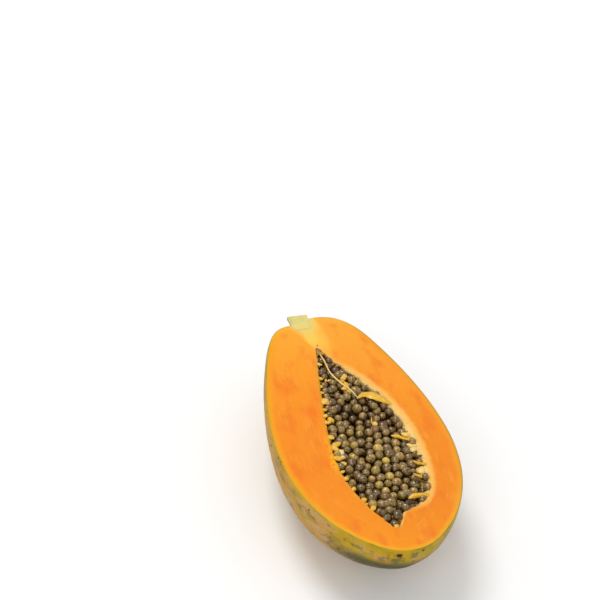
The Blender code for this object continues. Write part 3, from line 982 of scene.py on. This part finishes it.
UPPER_FAR_IN = 0.016
UPPER_SIZE = (0.80, 0.95)
UPPER_COUNT = 34
YELLOW_SEEDS = [(-0.0256, -0.0087), (-0.0571, 0.0002), (0.0275, -0.0039)]
SEED_PLAY = (0.84, 1.10)
SEED_HEIGHT_PLAY = (-0.0011, 0.0006)
SEED_LOOKS_RANDOM = 21
SEED_RIPENESS = (0.75, 0.9, 1.0, 1.0, 1.0, 1.0, 1.0, 1.0)
FAR_OFF = np.full((1, 2), 1.0)
RED_SPOTS = [
    (0.0500, 0.0000, 0.0150),
    (0.0000, -0.0172, 0.0060),
    (-0.0262, -0.0262, 0.0040),
    (-0.0224, 0.0150, 0.0035),
    (-0.0490, 0.0012, 0.0030),
]
# Painted shade: spots where the seeds are darkened, in the pit, under the fibre band, at both tips of
# the cavity and in a few other places
PAINTED_SHADE_SPOTS = [
    (0.0110, 0.0000, 0.0062),
    (0.0165, -0.0140, 0.0048),
    (0.0470, 0.0000, 0.0120),
    (0.0003, -0.0178, 0.0045),
    (-0.0224, 0.0150, 0.0030),
    (-0.0330, 0.0120, 0.0035),
    (-0.0440, 0.0130, 0.0045),
    (-0.0600, 0.0020, 0.0060),
    (-0.0650, 0.0030, 0.0070),
    (0.0190, 0.0070, 0.0045),
]


def pulp_level(x, y):
    """Height of the middles of the seeds against the cut face."""
    level = PULP_LEVEL + np.zeros_like(x)
    for middle_x, middle_y, reach_x, reach_y, rise in PULP_SWELLS:
        level = level + rise * np.exp(
            -(((x - middle_x) / reach_x) ** 2) - ((y - middle_y) / reach_y) ** 2
        )
    return level


def wall_at(depth):
    """The cavity's outline at a depth, as flat places."""
    return cavity_ring(smooth_loop(CAVITY_RIM, SEED_WALL_POINTS), depth)[:, :2]


def thrown_in(draw, wall):
    """A random place in the box around the wall, and its room within the wall."""
    low, high = wall.min(0), wall.max(0)
    spot = np.array([draw.uniform(low[0], high[0]), draw.uniform(low[1], high[1])])
    return spot, room_within(spot[None], wall)[0][0]


def nearest(places, spot):
    """The distance from a spot to the nearest of these places."""
    return np.hypot(*(places - spot).T).min()


def any_turn(draw):
    """A random turn about all three axes."""
    return Euler([draw.uniform(0, 2 * math.pi) for _ in range(3)])


def seed_plan():
    """Every seed's middle, size and turn: thrown in at random, then pushed apart."""
    draw = random.Random(SEED_RANDOM)
    wall = wall_at(-PULP_LEVEL)
    places = []
    while len(places) < SEED_COUNT:
        spot, room = thrown_in(draw, wall)
        if room > 0:
            places.append(spot)
    places = np.array(places)
    for _ in range(SEED_SHUFFLES):
        between = places[:, None] - places
        apart = np.maximum(np.linalg.norm(between, axis=2), LEAST_ROOM)
        np.fill_diagonal(apart, SEED_SPACING)
        push = np.clip(SEED_SPACING / apart - 1, 0, 1)
        places = places + SEED_PUSH * (between * push[..., None]).sum(1)
        room, inward = room_within(places, wall)
        places = places + inward * np.clip(SEED_WALL_ROOM - room, 0, None)[:, None]
    places = np.vstack([places, SEED_IN_TIP])
    room = room_within(places, wall)[0]
    plan = []
    for (x, y), space in zip(places, room):
        size = min(draw.uniform(*SEED_SIZE_SPREAD), (space - LEAST_ROOM) / SEED_HALF_SIZE[0])
        z = CUT_HEIGHT + float(pulp_level(x, y)) + draw.uniform(*SEED_RISE)
        plan.append((np.array([x, y, z]), size, any_turn(draw)))
    return plan


def under_plan(upper):
    """The seeds of the next layer down, each in a hollow between those of the upper one."""
    draw = random.Random(UNDER_RANDOM)
    wall = wall_at(-2 * PULP_LEVEL)
    above = np.array([place for place, _, _ in upper])
    chosen = FAR_OFF
    plan = []
    for _ in range(UNDER_THROWS):
        spot, room = thrown_in(draw, wall)
        aside = np.hypot(*(above[:, :2] - spot).T)
        if min(aside.min(), room) < UNDER_ASIDE or nearest(chosen, spot) < UNDER_APART:
            continue
        if math.hypot(*(spot - UNDER_PIT[:2])) < UNDER_PIT[2]:
            continue
        chosen = np.vstack([chosen, spot])
        lower = above[:, 2] - np.sqrt(np.clip(UNDER_REACH**2 - aside**2, 0, None))
        z = float(np.where(aside < UNDER_REACH, lower, 1.0).min())
        z = min(z, CUT_HEIGHT + PULP_LEVEL + UNDER_RISE)
        turn = any_turn(draw)
        plan.append((np.array([*spot, z]), draw.uniform(*UNDER_SIZE), turn))
    return plan


def upper_plan(below):
    """Loose seeds pressed into the hollows on top of the others, most of them by the rim."""
    draw = random.Random(UPPER_RANDOM)
    wall = wall_at(0.0)
    under = np.array([place for place, _, _ in below])
    chosen = FAR_OFF
    plan = []
    for _ in range(UPPER_THROWS):
        spot, room = thrown_in(draw, wall)
        aside = np.hypot(*(under[:, :2] - spot).T)
        if room < UPPER_ROOM or aside.min() < UPPER_ASIDE or len(plan) == UPPER_COUNT:
            continue
        if draw.random() < room / UPPER_FAR_IN:
            continue
        if math.hypot(*(spot - UNDER_PIT[:2])) < UNDER_PIT[2]:
            continue
        if nearest(chosen, spot) < UPPER_APART:
            continue
        size = draw.uniform(*UPPER_SIZE)
        near = np.where(aside < UPPER_REACH, under[:, 2], 0.0)
        z = float((near + np.sqrt(np.clip(UPPER_REACH**2 - aside**2, 0, None))).max())
        z = min(z, CUT_HEIGHT + UPPER_TOP - size * SEED_HALF_SIZE[0])
        chosen = np.vstack([chosen, spot])
        plan.append((np.array([*spot, z]), size, any_turn(draw)))
    return plan


seeds = seed_plan()
under_seeds = under_plan(seeds)
upper_seeds = upper_plan(seeds)
spots = np.array([place[:2] for place, _, _ in seeds])
yellow = {int(np.hypot(*(spots - spot).T).argmin()) for spot in YELLOW_SEEDS}
looks = random.Random(SEED_LOOKS_RANDOM)
seed_heap = Heap()
unit_points, unit_faces = ball(SEED_AROUND, SEED_BANDS)
for number, (place, size, turn) in enumerate(seeds + under_seeds + upper_seeds):
    offset = SEED_WAVE_STEP * number
    shape = lumpy(unit_points, offset, *SEED_WAVES)
    shape[:, 1:] *= (1 - SEED_EGG * unit_points[:, :1])
    shape = shape * (size * looks.uniform(*SEED_PLAY) * np.array(SEED_HALF_SIZE))
    placed = shape @ np.array(turn.to_matrix()).T
    # How high each point sits on its own seed, for the painted shade on the seeds' undersides
    above = placed[:, 2] / SEED_HALF_SIZE[1]
    placed = placed + place + np.array([0, 0, looks.uniform(*SEED_HEIGHT_PLAY)])
    red, dark = (
        sum(math.exp(-((place[0] - x) ** 2 + (place[1] - y) ** 2) / r**2) for x, y, r in spots)
        for spots in (RED_SPOTS, PAINTED_SHADE_SPOTS)
    )
    ripe = 0.0 if number in yellow else looks.choice(SEED_RIPENESS)
    # The lower layer of seeds, and the seeds around the shade spots, get painted shade
    below = 1.0 if len(seeds) <= number < len(seeds) + len(under_seeds) else 0.0
    seed_heap.add(
        placed,
        unit_faces,
        own_place=unit_points + offset,
        above=above,
        shade=looks.random(),
        red=min(red, 1.0) * looks.uniform(0.5, 1.0),
        ripe=ripe,
        below=min(1.0, below + dark),
    )

sac = Finish(
    "seed_in_clear_sac",
    IOR=1.75,
    Specular_Tint=(1.0, 0.80, 0.50, 1.0),
    Subsurface_Weight=0.15,
    Subsurface_Radius=(1.0, 0.7, 0.35),
    Subsurface_Scale=0.0010,
    Coat_Weight=0.8,
    Coat_Roughness=0.10,
    Coat_IOR=1.5,
)
own = sac.noted("own_place", "Vector")
shade = sac.noted("shade")
sac.colour = sac.shades(shade, [
    (0.0, (58, 38, 12)),
    (0.16, (98, 66, 24)),
    (0.34, (140, 106, 36)),
    (0.50, (170, 134, 62)),
    (0.64, (142, 100, 60)),
    (0.76, (128, 106, 32)),
    (0.88, (80, 52, 30)),
    (1.0, (198, 160, 76)),
])
patches = sac.noise(own, 0.8, 3.0)
sac.tint(sac.between(patches, 0.42, 0.62, 0.72), (54, 38, 16))
ridges = sac.noise(sac.stretched(own, (0.5, 1, 1)), 0.26, 3.0)
sac.tint(sac.between(ridges, 0.5, 0.68, 0.6), (218, 184, 104))
sac.tint(sac.times(sac.noted("red"), 0.9), (92, 34, 8))
unripe = sac.times(sac.minus(1.0, sac.noted("ripe")), 0.9)
sac.tint(unripe, sac.shades(ridges, [(0.3, (206, 164, 40)), (0.65, (238, 206, 90))]))
# Painted shade: each seed darker towards its underside
above = sac.plus(sac.noted("above"), sac.times(patches, 0.5))
sac.tint(sac.between(above, 0.75, -0.25, 0.85), (58, 30, 6))
# Painted shade on the lower layer of seeds and around the shade spots
sac.tint(sac.times(sac.noted("below"), 0.75), (54, 28, 6))
sac.paint()
sac.gloss(patches, 0.14, 0.30)
sac.relief((ridges, 0.22), (patches, 0.2))
seed_piece = seed_heap.piece("seeds_in_sacs", sac, "seed")
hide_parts("seeds")

# The pulp bed. Wet placenta and old sacs that fill the cavity under the seeds and hold them,
# coloured dark brown as painted shade in the gaps between the seeds; it isn't flat, and its edge is
# grown to the wall.
BED_BELOW = 0.0044
BED_ROUGH = 0.0009
BED_ROUGH_SIZE = 0.0022
BED_INTO_WALL = 0.0008
BED_RINGS = 46
BED_SPOKES = 320
BED_UNDER_DEPTHS = (0.0100, 0.0140, 0.0180, 0.0210)
BED_FINE_SIZE = 0.0008
BED_OFF_WALL = 0.0003
BED_FOOT_RISE = 0.0005

bed_rim = smooth_loop(CAVITY_RIM, BED_SPOKES)
bed_edge = drawn_in(cavity_ring(bed_rim, BED_BELOW - PULP_LEVEL), -BED_INTO_WALL)[:, :2]
middle = np.array(CAVITY_MIDDLE)
bed_rings = []
for depth in BED_UNDER_DEPTHS[::-1]:
    bed_rings.append(cavity_ring(bed_rim, depth) + np.array([0, 0, BED_OFF_WALL]))
for k in range(BED_RINGS, 0, -1):
    flat = middle + (bed_edge - middle) * (k / BED_RINGS)
    level = CUT_HEIGHT + pulp_level(flat[:, 0], flat[:, 1]) - BED_BELOW
    ring = np.column_stack([flat, level])
    rough = ripple(ring, BED_ROUGH_SIZE) + 0.3 * ripple(ring, BED_FINE_SIZE)
    ring[:, 2] += BED_ROUGH * rough
    bed_rings.append(ring)
bed_top = np.array([*middle, CUT_HEIGHT + float(pulp_level(*middle)) - BED_BELOW])
bed_foot = np.array([*middle, CUT_HEIGHT - CAVITY_DEPTH + BED_FOOT_RISE])
bed = loft("pulp_bed", bed_rings, bed_foot, bed_top)
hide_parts("seeds")

pulp = Finish("wet_pulp", Roughness=0.3, Coat_Weight=0.5, Coat_Roughness=0.15)
place = pulp.place()
fold = pulp.noise(place, 1.4, 4.0)
# Painted shade: the bed is dark brown, with lighter folds of tissue
pulp.colour = pulp.shades(fold, [
    (0.3, (46, 22, 4)),
    (0.5, (76, 40, 10)),
    (0.62, (110, 62, 18)),
    (0.75, (176, 122, 40)),
])
pulp.paint()
pulp.relief((fold, 0.4))
bed.data.materials.append(pulp.material)

# The fibres. Yellow threads and bands of pulp tie the seeds to the rim: two long ones from
# the flesh lie over the heap, short ones cross to the wall, and a few are dark brown.
FIBRES = [
    (
        [(0.0630, 0.0026), (0.0560, 0.0021), (0.0486, 0.0016), (0.0424, 0.0016),
         (0.0366, 0.0003), (0.0302, -0.0016), (0.0259, -0.0043), (0.0178, -0.0068)],
        [0.0003, 0.00035, 0.0004, 0.0004, 0.0005, 0.0005, 0.0004, 0.0003],
        0.75,
    ),
    (
        [(0.0126, -0.0285), (0.0130, -0.0250), (0.0143, -0.0220), (0.0170, -0.0188),
         (0.0196, -0.0152), (0.0205, -0.0118), (0.0194, -0.0088), (0.0178, -0.0064)],
        [0.0010, 0.0011, 0.0016, 0.0023, 0.0025, 0.0018, 0.0010, 0.0006],
        0.05,
    ),
]
SHORT_FIBRES = [
    ([(0.0040, -0.0098), (0.0004, -0.0086), (-0.0030, -0.0083)], [0.0003, 0.0004, 0.0003], 0.1),
    ([(-0.0105, -0.0160), (-0.0118, -0.0198), (-0.0140, -0.0240), (-0.0155, -0.0300)],
     [0.0005, 0.0010, 0.0008, 0.0010], 0.0),
    ([(-0.0300, -0.0213), (-0.0314, -0.0236), (-0.0330, -0.0285)], [0.0005, 0.0009, 0.0008], 0.1),
    ([(-0.0392, -0.0180), (-0.0409, -0.0212), (-0.0420, -0.0275)], [0.0005, 0.0010, 0.0008], 0.0),
    ([(-0.0552, -0.0090), (-0.0542, -0.0132), (-0.0538, -0.0188), (-0.0545, -0.0230)],
     [0.0007, 0.0014, 0.0012, 0.0010], 0.0),
    ([(-0.0250, -0.0226), (-0.0266, -0.0250), (-0.0264, -0.0282)], [0.0011, 0.0009, 0.0004], 0.9),
    ([(-0.0424, -0.0166), (-0.0443, -0.0206), (-0.0462, -0.0252)], [0.0012, 0.0008, 0.0003], 0.9),
    ([(-0.0582, -0.0064), (-0.0574, -0.0102), (-0.0580, -0.0140)], [0.0017, 0.0012, 0.0004], 1.0),
]
FIBRE_HALF_DEPTH = 0.0005
FIBRE_STEPS = 8
FIBRE_SIDES = 20
DRAPE_SMOOTHINGS = 24
DRAPE_SETTLE = 0.00003
FIBRE_RIDGE = 0.16
FIBRE_RIDGES = 5
FIBRE_TWIST = 6
FIBRE_TAPER = 3.2
FIBRE_BLUNT = 0.01
FIBRE_ROUGH = 0.00024
FIBRE_ROUGH_SIZE = 0.0011
LONG_FIBRE_DEEP = 0.7
SHORT_FIBRE_DEEP = 0.8
SHORT_FIBRE_OVAL = 0.6
THREAD_HALF_WIDTHS = (0.00032, 0.00018)
THREAD_STEPS = 9
THREAD_SIDES = 9
THREAD_REACH = 0.0062
THREAD_RANDOM = 8
THREAD_NEAR_Y = -0.004
THREAD_NEAR_SLOPE = 0.1
THREAD_ON_SEED = 0.85
THREAD_START_TURN = (-0.9, 0.9)
THREAD_START_RISE = (0.0, 0.5)
THREAD_FOOT_ASIDE = (-0.0028, 0.0028)
THREAD_FOOT_DEPTH = (0.0008, 0.0030)
THREAD_INTO_WALL = 0.0010
THREAD_ARCH = (-0.0002, 0.0008)
THREAD_WIDTH_PLAY = (0.7, 1.5)
THREAD_DARK = (0.0, 0.0, 0.0, 0.0, 0.1, 0.5)
THREADS_A_SEED = 2
PULP_LUMPS = [
    (0.0362, -0.0050, 0.0024, 0.0016, 0.0011, 0.3),
    (0.0335, -0.0034, 0.0026, 0.0018, 0.0012, 0.0),
    (0.0305, -0.0040, 0.0022, 0.0017, 0.0012, 0.0),
    (0.0276, -0.0030, 0.0022, 0.0015, 0.0010, 0.2),
    (0.0252, -0.0050, 0.0019, 0.0014, 0.0009, 0.5),
    (-0.0002, -0.0104, 0.0020, 0.0015, 0.0009, 0.6),
    (0.0070, 0.0126, 0.0020, 0.0014, 0.0010, 0.1),
    (-0.0020, 0.0168, 0.0024, 0.0014, 0.0010, 0.0),
    (-0.0052, 0.0168, 0.0028, 0.0017, 0.0012, 0.0),
    (-0.0088, 0.0176, 0.0031, 0.0019, 0.0013, 0.0),
    (-0.0104, 0.0152, 0.0024, 0.0016, 0.0011, 0.1),
    (-0.0128, 0.0170, 0.0026, 0.0016, 0.0012, 0.1),
    (-0.0160, 0.0142, 0.0025, 0.0018, 0.0013, 0.9),
    (-0.0196, 0.0150, 0.0018, 0.0013, 0.0009, 0.5),
    (-0.0240, 0.0156, 0.0016, 0.0011, 0.0008, 0.3),
]
LUMP_WAVES = ((0.30, 0.8), (0.14, 0.3))
LUMP_WAVE_STEP = 3.1
WEB_WAVES = ((0.35, 0.9), (0.18, 0.35))
WEB_WAVE_STEP = 2.3
WEB_THROWS = 900
WEB_RANDOM = 29
WEB_FAR_FACING = 0.15
WEB_FAR_IN = 0.0018
WEB_LEAN = (-0.5, 0.5)
WEB_LENGTH = (0.0013, 0.0030)
WEB_SLIM = (0.55, 0.95)
WEB_THIN = 0.55
WEB_CLEAR = 0.0027
WEB_APART = 0.0021
FAR_WEB_DEPTH = (0.0016, 0.0036)
NEAR_WEB_DEPTH = (0.0003, 0.0018)
FAR_WEB_CREAM = (0.2, 0.9)
NEAR_WEB_CREAM = (0.0, 0.2)
SMALL_LUMPS = 90
SMALL_LUMP_SIZE = (0.0005, 0.0011)
SMALL_LUMP_RANDOM = 5
SMALL_LUMP_ROOM = 0.0006
SMALL_LUMP_FAR_IN = 0.014
SMALL_LUMP_TOP = 0.0012
SMALL_LUMP_SINK = 0.0010


def smooth_line(points, count):
    """count points along a smooth open curve from the first of these points to the last."""
    given = np.array(points, float)
    padded = np.vstack([2 * given[0] - given[1], given, 2 * given[-1] - given[-2]])
    place = np.linspace(0, len(given) - 1, count)
    first = np.minimum(place.astype(int), len(given) - 2)
    t = (place - first)[:, None]
    a, b, c, d = (padded[first + k] for k in range(4))
    return 0.5 * (
        2 * b + (c - a) * t + (2 * a - 5 * b + 4 * c - d) * t**2 + (3 * b - a - 3 * c + d) * t**3
    )


def draped(route, half_widths):
    """A fibre's route and widths: level with the cut face, then draped over the seeds."""
    count = FIBRE_STEPS * (len(route) - 1) + 1
    flat = smooth_line(route, count)
    wide = np.interp(np.linspace(0, 1, count), np.linspace(0, 1, len(route)), half_widths)
    ahead = unit_rows(np.gradient(flat, axis=0))
    across = np.column_stack([-ahead[:, 1], ahead[:, 0]]) * wide[:, None]
    under = np.full(count, CUT_HEIGHT - 2 * FIBRE_HALF_DEPTH - LEAST_ROOM)
    for share in (-1.0, -0.5, 0.0, 0.5, 1.0):
        line = flat + share * across
        for place, size, _ in seeds:
            clear = size * SEED_HALF_SIZE[0] + LEAST_ROOM
            off = np.hypot(line[:, 0] - place[0], line[:, 1] - place[1])
            top = place[2] + np.sqrt(np.clip(clear**2 - off**2, 0, None))
            under = np.where(off < clear, np.maximum(under, top), under)
    for _ in range(DRAPE_SMOOTHINGS):
        ends = np.concatenate([under[:1], under, under[-1:]])
        under = np.maximum(under - DRAPE_SETTLE, (ends[:-2] + 2 * under + ends[2:]) / 4)
    return np.column_stack([flat, under + FIBRE_HALF_DEPTH]), wide


def strand(heap, line, half_widths, half_depths, sides, dark, cream):
    """Adds a ridged, oval fibre along a line, drawn to a point at both ends."""
    ahead = unit_rows(np.gradient(line, axis=0))
    across = unit_rows(np.cross(ahead, np.array([0, 0, 1.0])))
    over = np.cross(across, ahead)
    share = np.linspace(0, 1, len(line))[:, None]
    turn = 2 * math.pi * np.arange(sides) / sides
    ridged = 1 + FIBRE_RIDGE * np.cos(FIBRE_RIDGES * turn + FIBRE_TWIST * share)
    from_tip = np.minimum(share, 1 - share)
    close = np.minimum(1, FIBRE_TAPER * np.sqrt(from_tip + FIBRE_BLUNT))
    aside = np.cos(turn) * half_widths[:, None] * ridged * close
    above = np.sin(turn) * half_depths[:, None] * ridged * close
    points = line[:, None] + across[:, None] * aside[..., None] + over[:, None] * above[..., None]
    points = points.reshape(-1, 3)
    rough = FIBRE_ROUGH * ripple(points, FIBRE_ROUGH_SIZE, 4.0)
    points += rough[:, None] * np.array([0.5, 0.5, 1.0])
    tips = [line[0] - ahead[0] * half_depths[0], line[-1] + ahead[-1] * half_depths[-1]]
    points = np.vstack([tips[0], points, tips[1]])
    heap.add(points, ball(sides, len(line) + 1)[1], dark=dark, cream=cream)


def surface_at(spot):
    """Height of the top of the seeds, or of the pulp between them, at this place."""
    top = CUT_HEIGHT + float(pulp_level(*spot)) - BED_BELOW
    for place, size, _ in seeds + under_seeds:
        off = math.hypot(spot[0] - place[0], spot[1] - place[1])
        radius = size * SEED_HALF_SIZE[1]
        if off < radius:
            top = max(top, place[2] + math.sqrt(radius**2 - off**2))
    return top


fibre_heap = Heap()
for route, half_widths, cream in FIBRES:
    line, wide = draped(route, half_widths)
    deep = np.full(len(line), LONG_FIBRE_DEEP * FIBRE_HALF_DEPTH)
    strand(fibre_heap, line, wide, deep, FIBRE_SIDES, 0.0, cream)
for route, half_widths, dark in SHORT_FIBRES:
    line, wide = draped(route, half_widths)
    deep = np.maximum(SHORT_FIBRE_OVAL * wide, SHORT_FIBRE_DEEP * FIBRE_HALF_DEPTH)
    strand(fibre_heap, line, wide, deep, FIBRE_SIDES, dark, 0.0)

threads = random.Random(THREAD_RANDOM)
wall_line = wall_at(-PULP_LEVEL)
for place, size, _ in seeds:
    room, inward = room_within(place[None, :2], wall_line)
    if room[0] > THREAD_REACH or place[1] > THREAD_NEAR_Y + THREAD_NEAR_SLOPE * place[0]:
        continue
    outward = np.array([*-inward[0], 0.0])
    along_wall = np.array([-outward[1], outward[0], 0.0])
    for _ in range(THREADS_A_SEED):
        reach = size * SEED_HALF_SIZE[1]
        turn = threads.uniform(*THREAD_START_TURN)
        way = outward * math.cos(turn) + along_wall * math.sin(turn)
        start = place + reach * THREAD_ON_SEED * way
        start[2] = place[2] + threads.uniform(*THREAD_START_RISE) * reach
        foot = place + outward * (room[0] + THREAD_INTO_WALL)
        foot = foot + along_wall * threads.uniform(*THREAD_FOOT_ASIDE)
        foot[2] = CUT_HEIGHT - threads.uniform(*THREAD_FOOT_DEPTH)
        middle = (start + foot) / 2 + np.array([0, 0, threads.uniform(*THREAD_ARCH)])
        line = smooth_line([start, middle, foot], THREAD_STEPS)
        wide = np.linspace(*THREAD_HALF_WIDTHS, THREAD_STEPS)
        wide = wide * threads.uniform(*THREAD_WIDTH_PLAY)
        dark = threads.choice(THREAD_DARK)
        strand(fibre_heap, line, wide, wide, THREAD_SIDES, dark, threads.uniform(0.2, 1.0))

lump_points, lump_faces = ball(18, 12)


def add_lump(place, half_sizes, turn, cream, offset, waves):
    """Adds a lump of pulp, turned about the vertical, to the fibres."""
    shape = lumpy(lump_points, offset, *waves) * np.array(half_sizes)
    spin = np.array(Matrix.Rotation(turn, 3, "Z")).T
    fibre_heap.add(shape @ spin + np.array(place), lump_faces, dark=0.0, cream=cream)


lumps = random.Random(SMALL_LUMP_RANDOM)
every_lump = [(*lump, True) for lump in PULP_LUMPS]
while len(every_lump) < len(PULP_LUMPS) + SMALL_LUMPS:
    spot, room = thrown_in(lumps, wall_line)
    if room < SMALL_LUMP_ROOM or lumps.random() < room / SMALL_LUMP_FAR_IN:
        continue
    if surface_at(spot) > CUT_HEIGHT + pulp_level(*spot) + SMALL_LUMP_TOP:
        continue
    half = lumps.uniform(*SMALL_LUMP_SIZE)
    shape = (half * lumps.uniform(1.0, 1.8), half, half * lumps.uniform(0.7, 1.0))
    every_lump.append((*spot, *shape, lumps.uniform(0.0, 1.0), False))
for number, (x, y, long, wide, deep, cream, on_top) in enumerate(every_lump):
    top = surface_at((x, y))
    z = top if on_top else max(top, CUT_HEIGHT + pulp_level(x, y) - SMALL_LUMP_SINK)
    z = min(z, CUT_HEIGHT - (0.1 if on_top else 0.6) * deep)
    turn = lumps.uniform(0, math.pi)
    offset = LUMP_WAVE_STEP * number
    add_lump((x, y, z), (long, wide, deep), turn, cream, offset, LUMP_WAVES)

webs = random.Random(WEB_RANDOM)
rim_line = smooth_loop(CAVITY_RIM, SEED_WALL_POINTS)
seed_spots = np.array([place[:2] for place, _, _ in seeds + upper_seeds])
web_spots = FAR_OFF
for number in range(WEB_THROWS):
    at = webs.randrange(len(rim_line))
    ahead = rim_line[(at + 1) % len(rim_line)] - rim_line[at - 1]
    ahead = ahead / np.linalg.norm(ahead)
    inward = np.array([-ahead[1], ahead[0]])
    far = inward[1] > WEB_FAR_FACING
    long = webs.uniform(*WEB_LENGTH)
    wide = long * webs.uniform(*WEB_SLIM)
    depth = webs.uniform(*(FAR_WEB_DEPTH if far else NEAR_WEB_DEPTH))
    spot = rim_line[at] + inward * (0.6 * long + (WEB_FAR_IN if far else 0.0))
    if nearest(seed_spots, spot + 0.5 * long * inward) < WEB_CLEAR:
        continue
    if nearest(web_spots, spot) < WEB_APART:
        continue
    web_spots = np.vstack([web_spots, spot])
    half_sizes = (long, wide, WEB_THIN * wide)
    lean = math.atan2(inward[1], inward[0]) + webs.uniform(*WEB_LEAN)
    place = (*spot, CUT_HEIGHT - max(depth, 0.7 * half_sizes[2]))
    cream = webs.uniform(*(FAR_WEB_CREAM if far else NEAR_WEB_CREAM))
    add_lump(place, half_sizes, lean, cream, WEB_WAVE_STEP * number, WEB_WAVES)

yellow_pulp = Finish(
    "yellow_pulp",
    Roughness=0.34,
    Subsurface_Weight=0.35,
    Subsurface_Radius=(1.0, 0.6, 0.15),
    Subsurface_Scale=0.0015,
    Coat_Weight=0.2,
    Coat_Roughness=0.15,
)
place = yellow_pulp.place()
fine = yellow_pulp.noise(place, 0.7, 3.0)
yellow_pulp.colour = yellow_pulp.shades(fine, [
    (0.3, (214, 144, 6)),
    (0.5, (238, 178, 16)),
    (0.7, (246, 204, 60)),
])
yellow_pulp.tint(yellow_pulp.noted("cream"), (244, 212, 138))
yellow_pulp.tint(yellow_pulp.noted("dark"), (60, 30, 4))
fibre_root = yellow_pulp.between(yellow_pulp.part(place, "X"), 54.0, 58.0, 0.85)
yellow_pulp.tint(fibre_root, (124, 66, 22))
yellow_pulp.paint()
yellow_pulp.gloss(fine, 0.26, 0.46)
yellow_pulp.relief((fine, 0.12))
fibres = fibre_heap.piece("yellow_fibres", yellow_pulp, "flesh")
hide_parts("half_fruit")
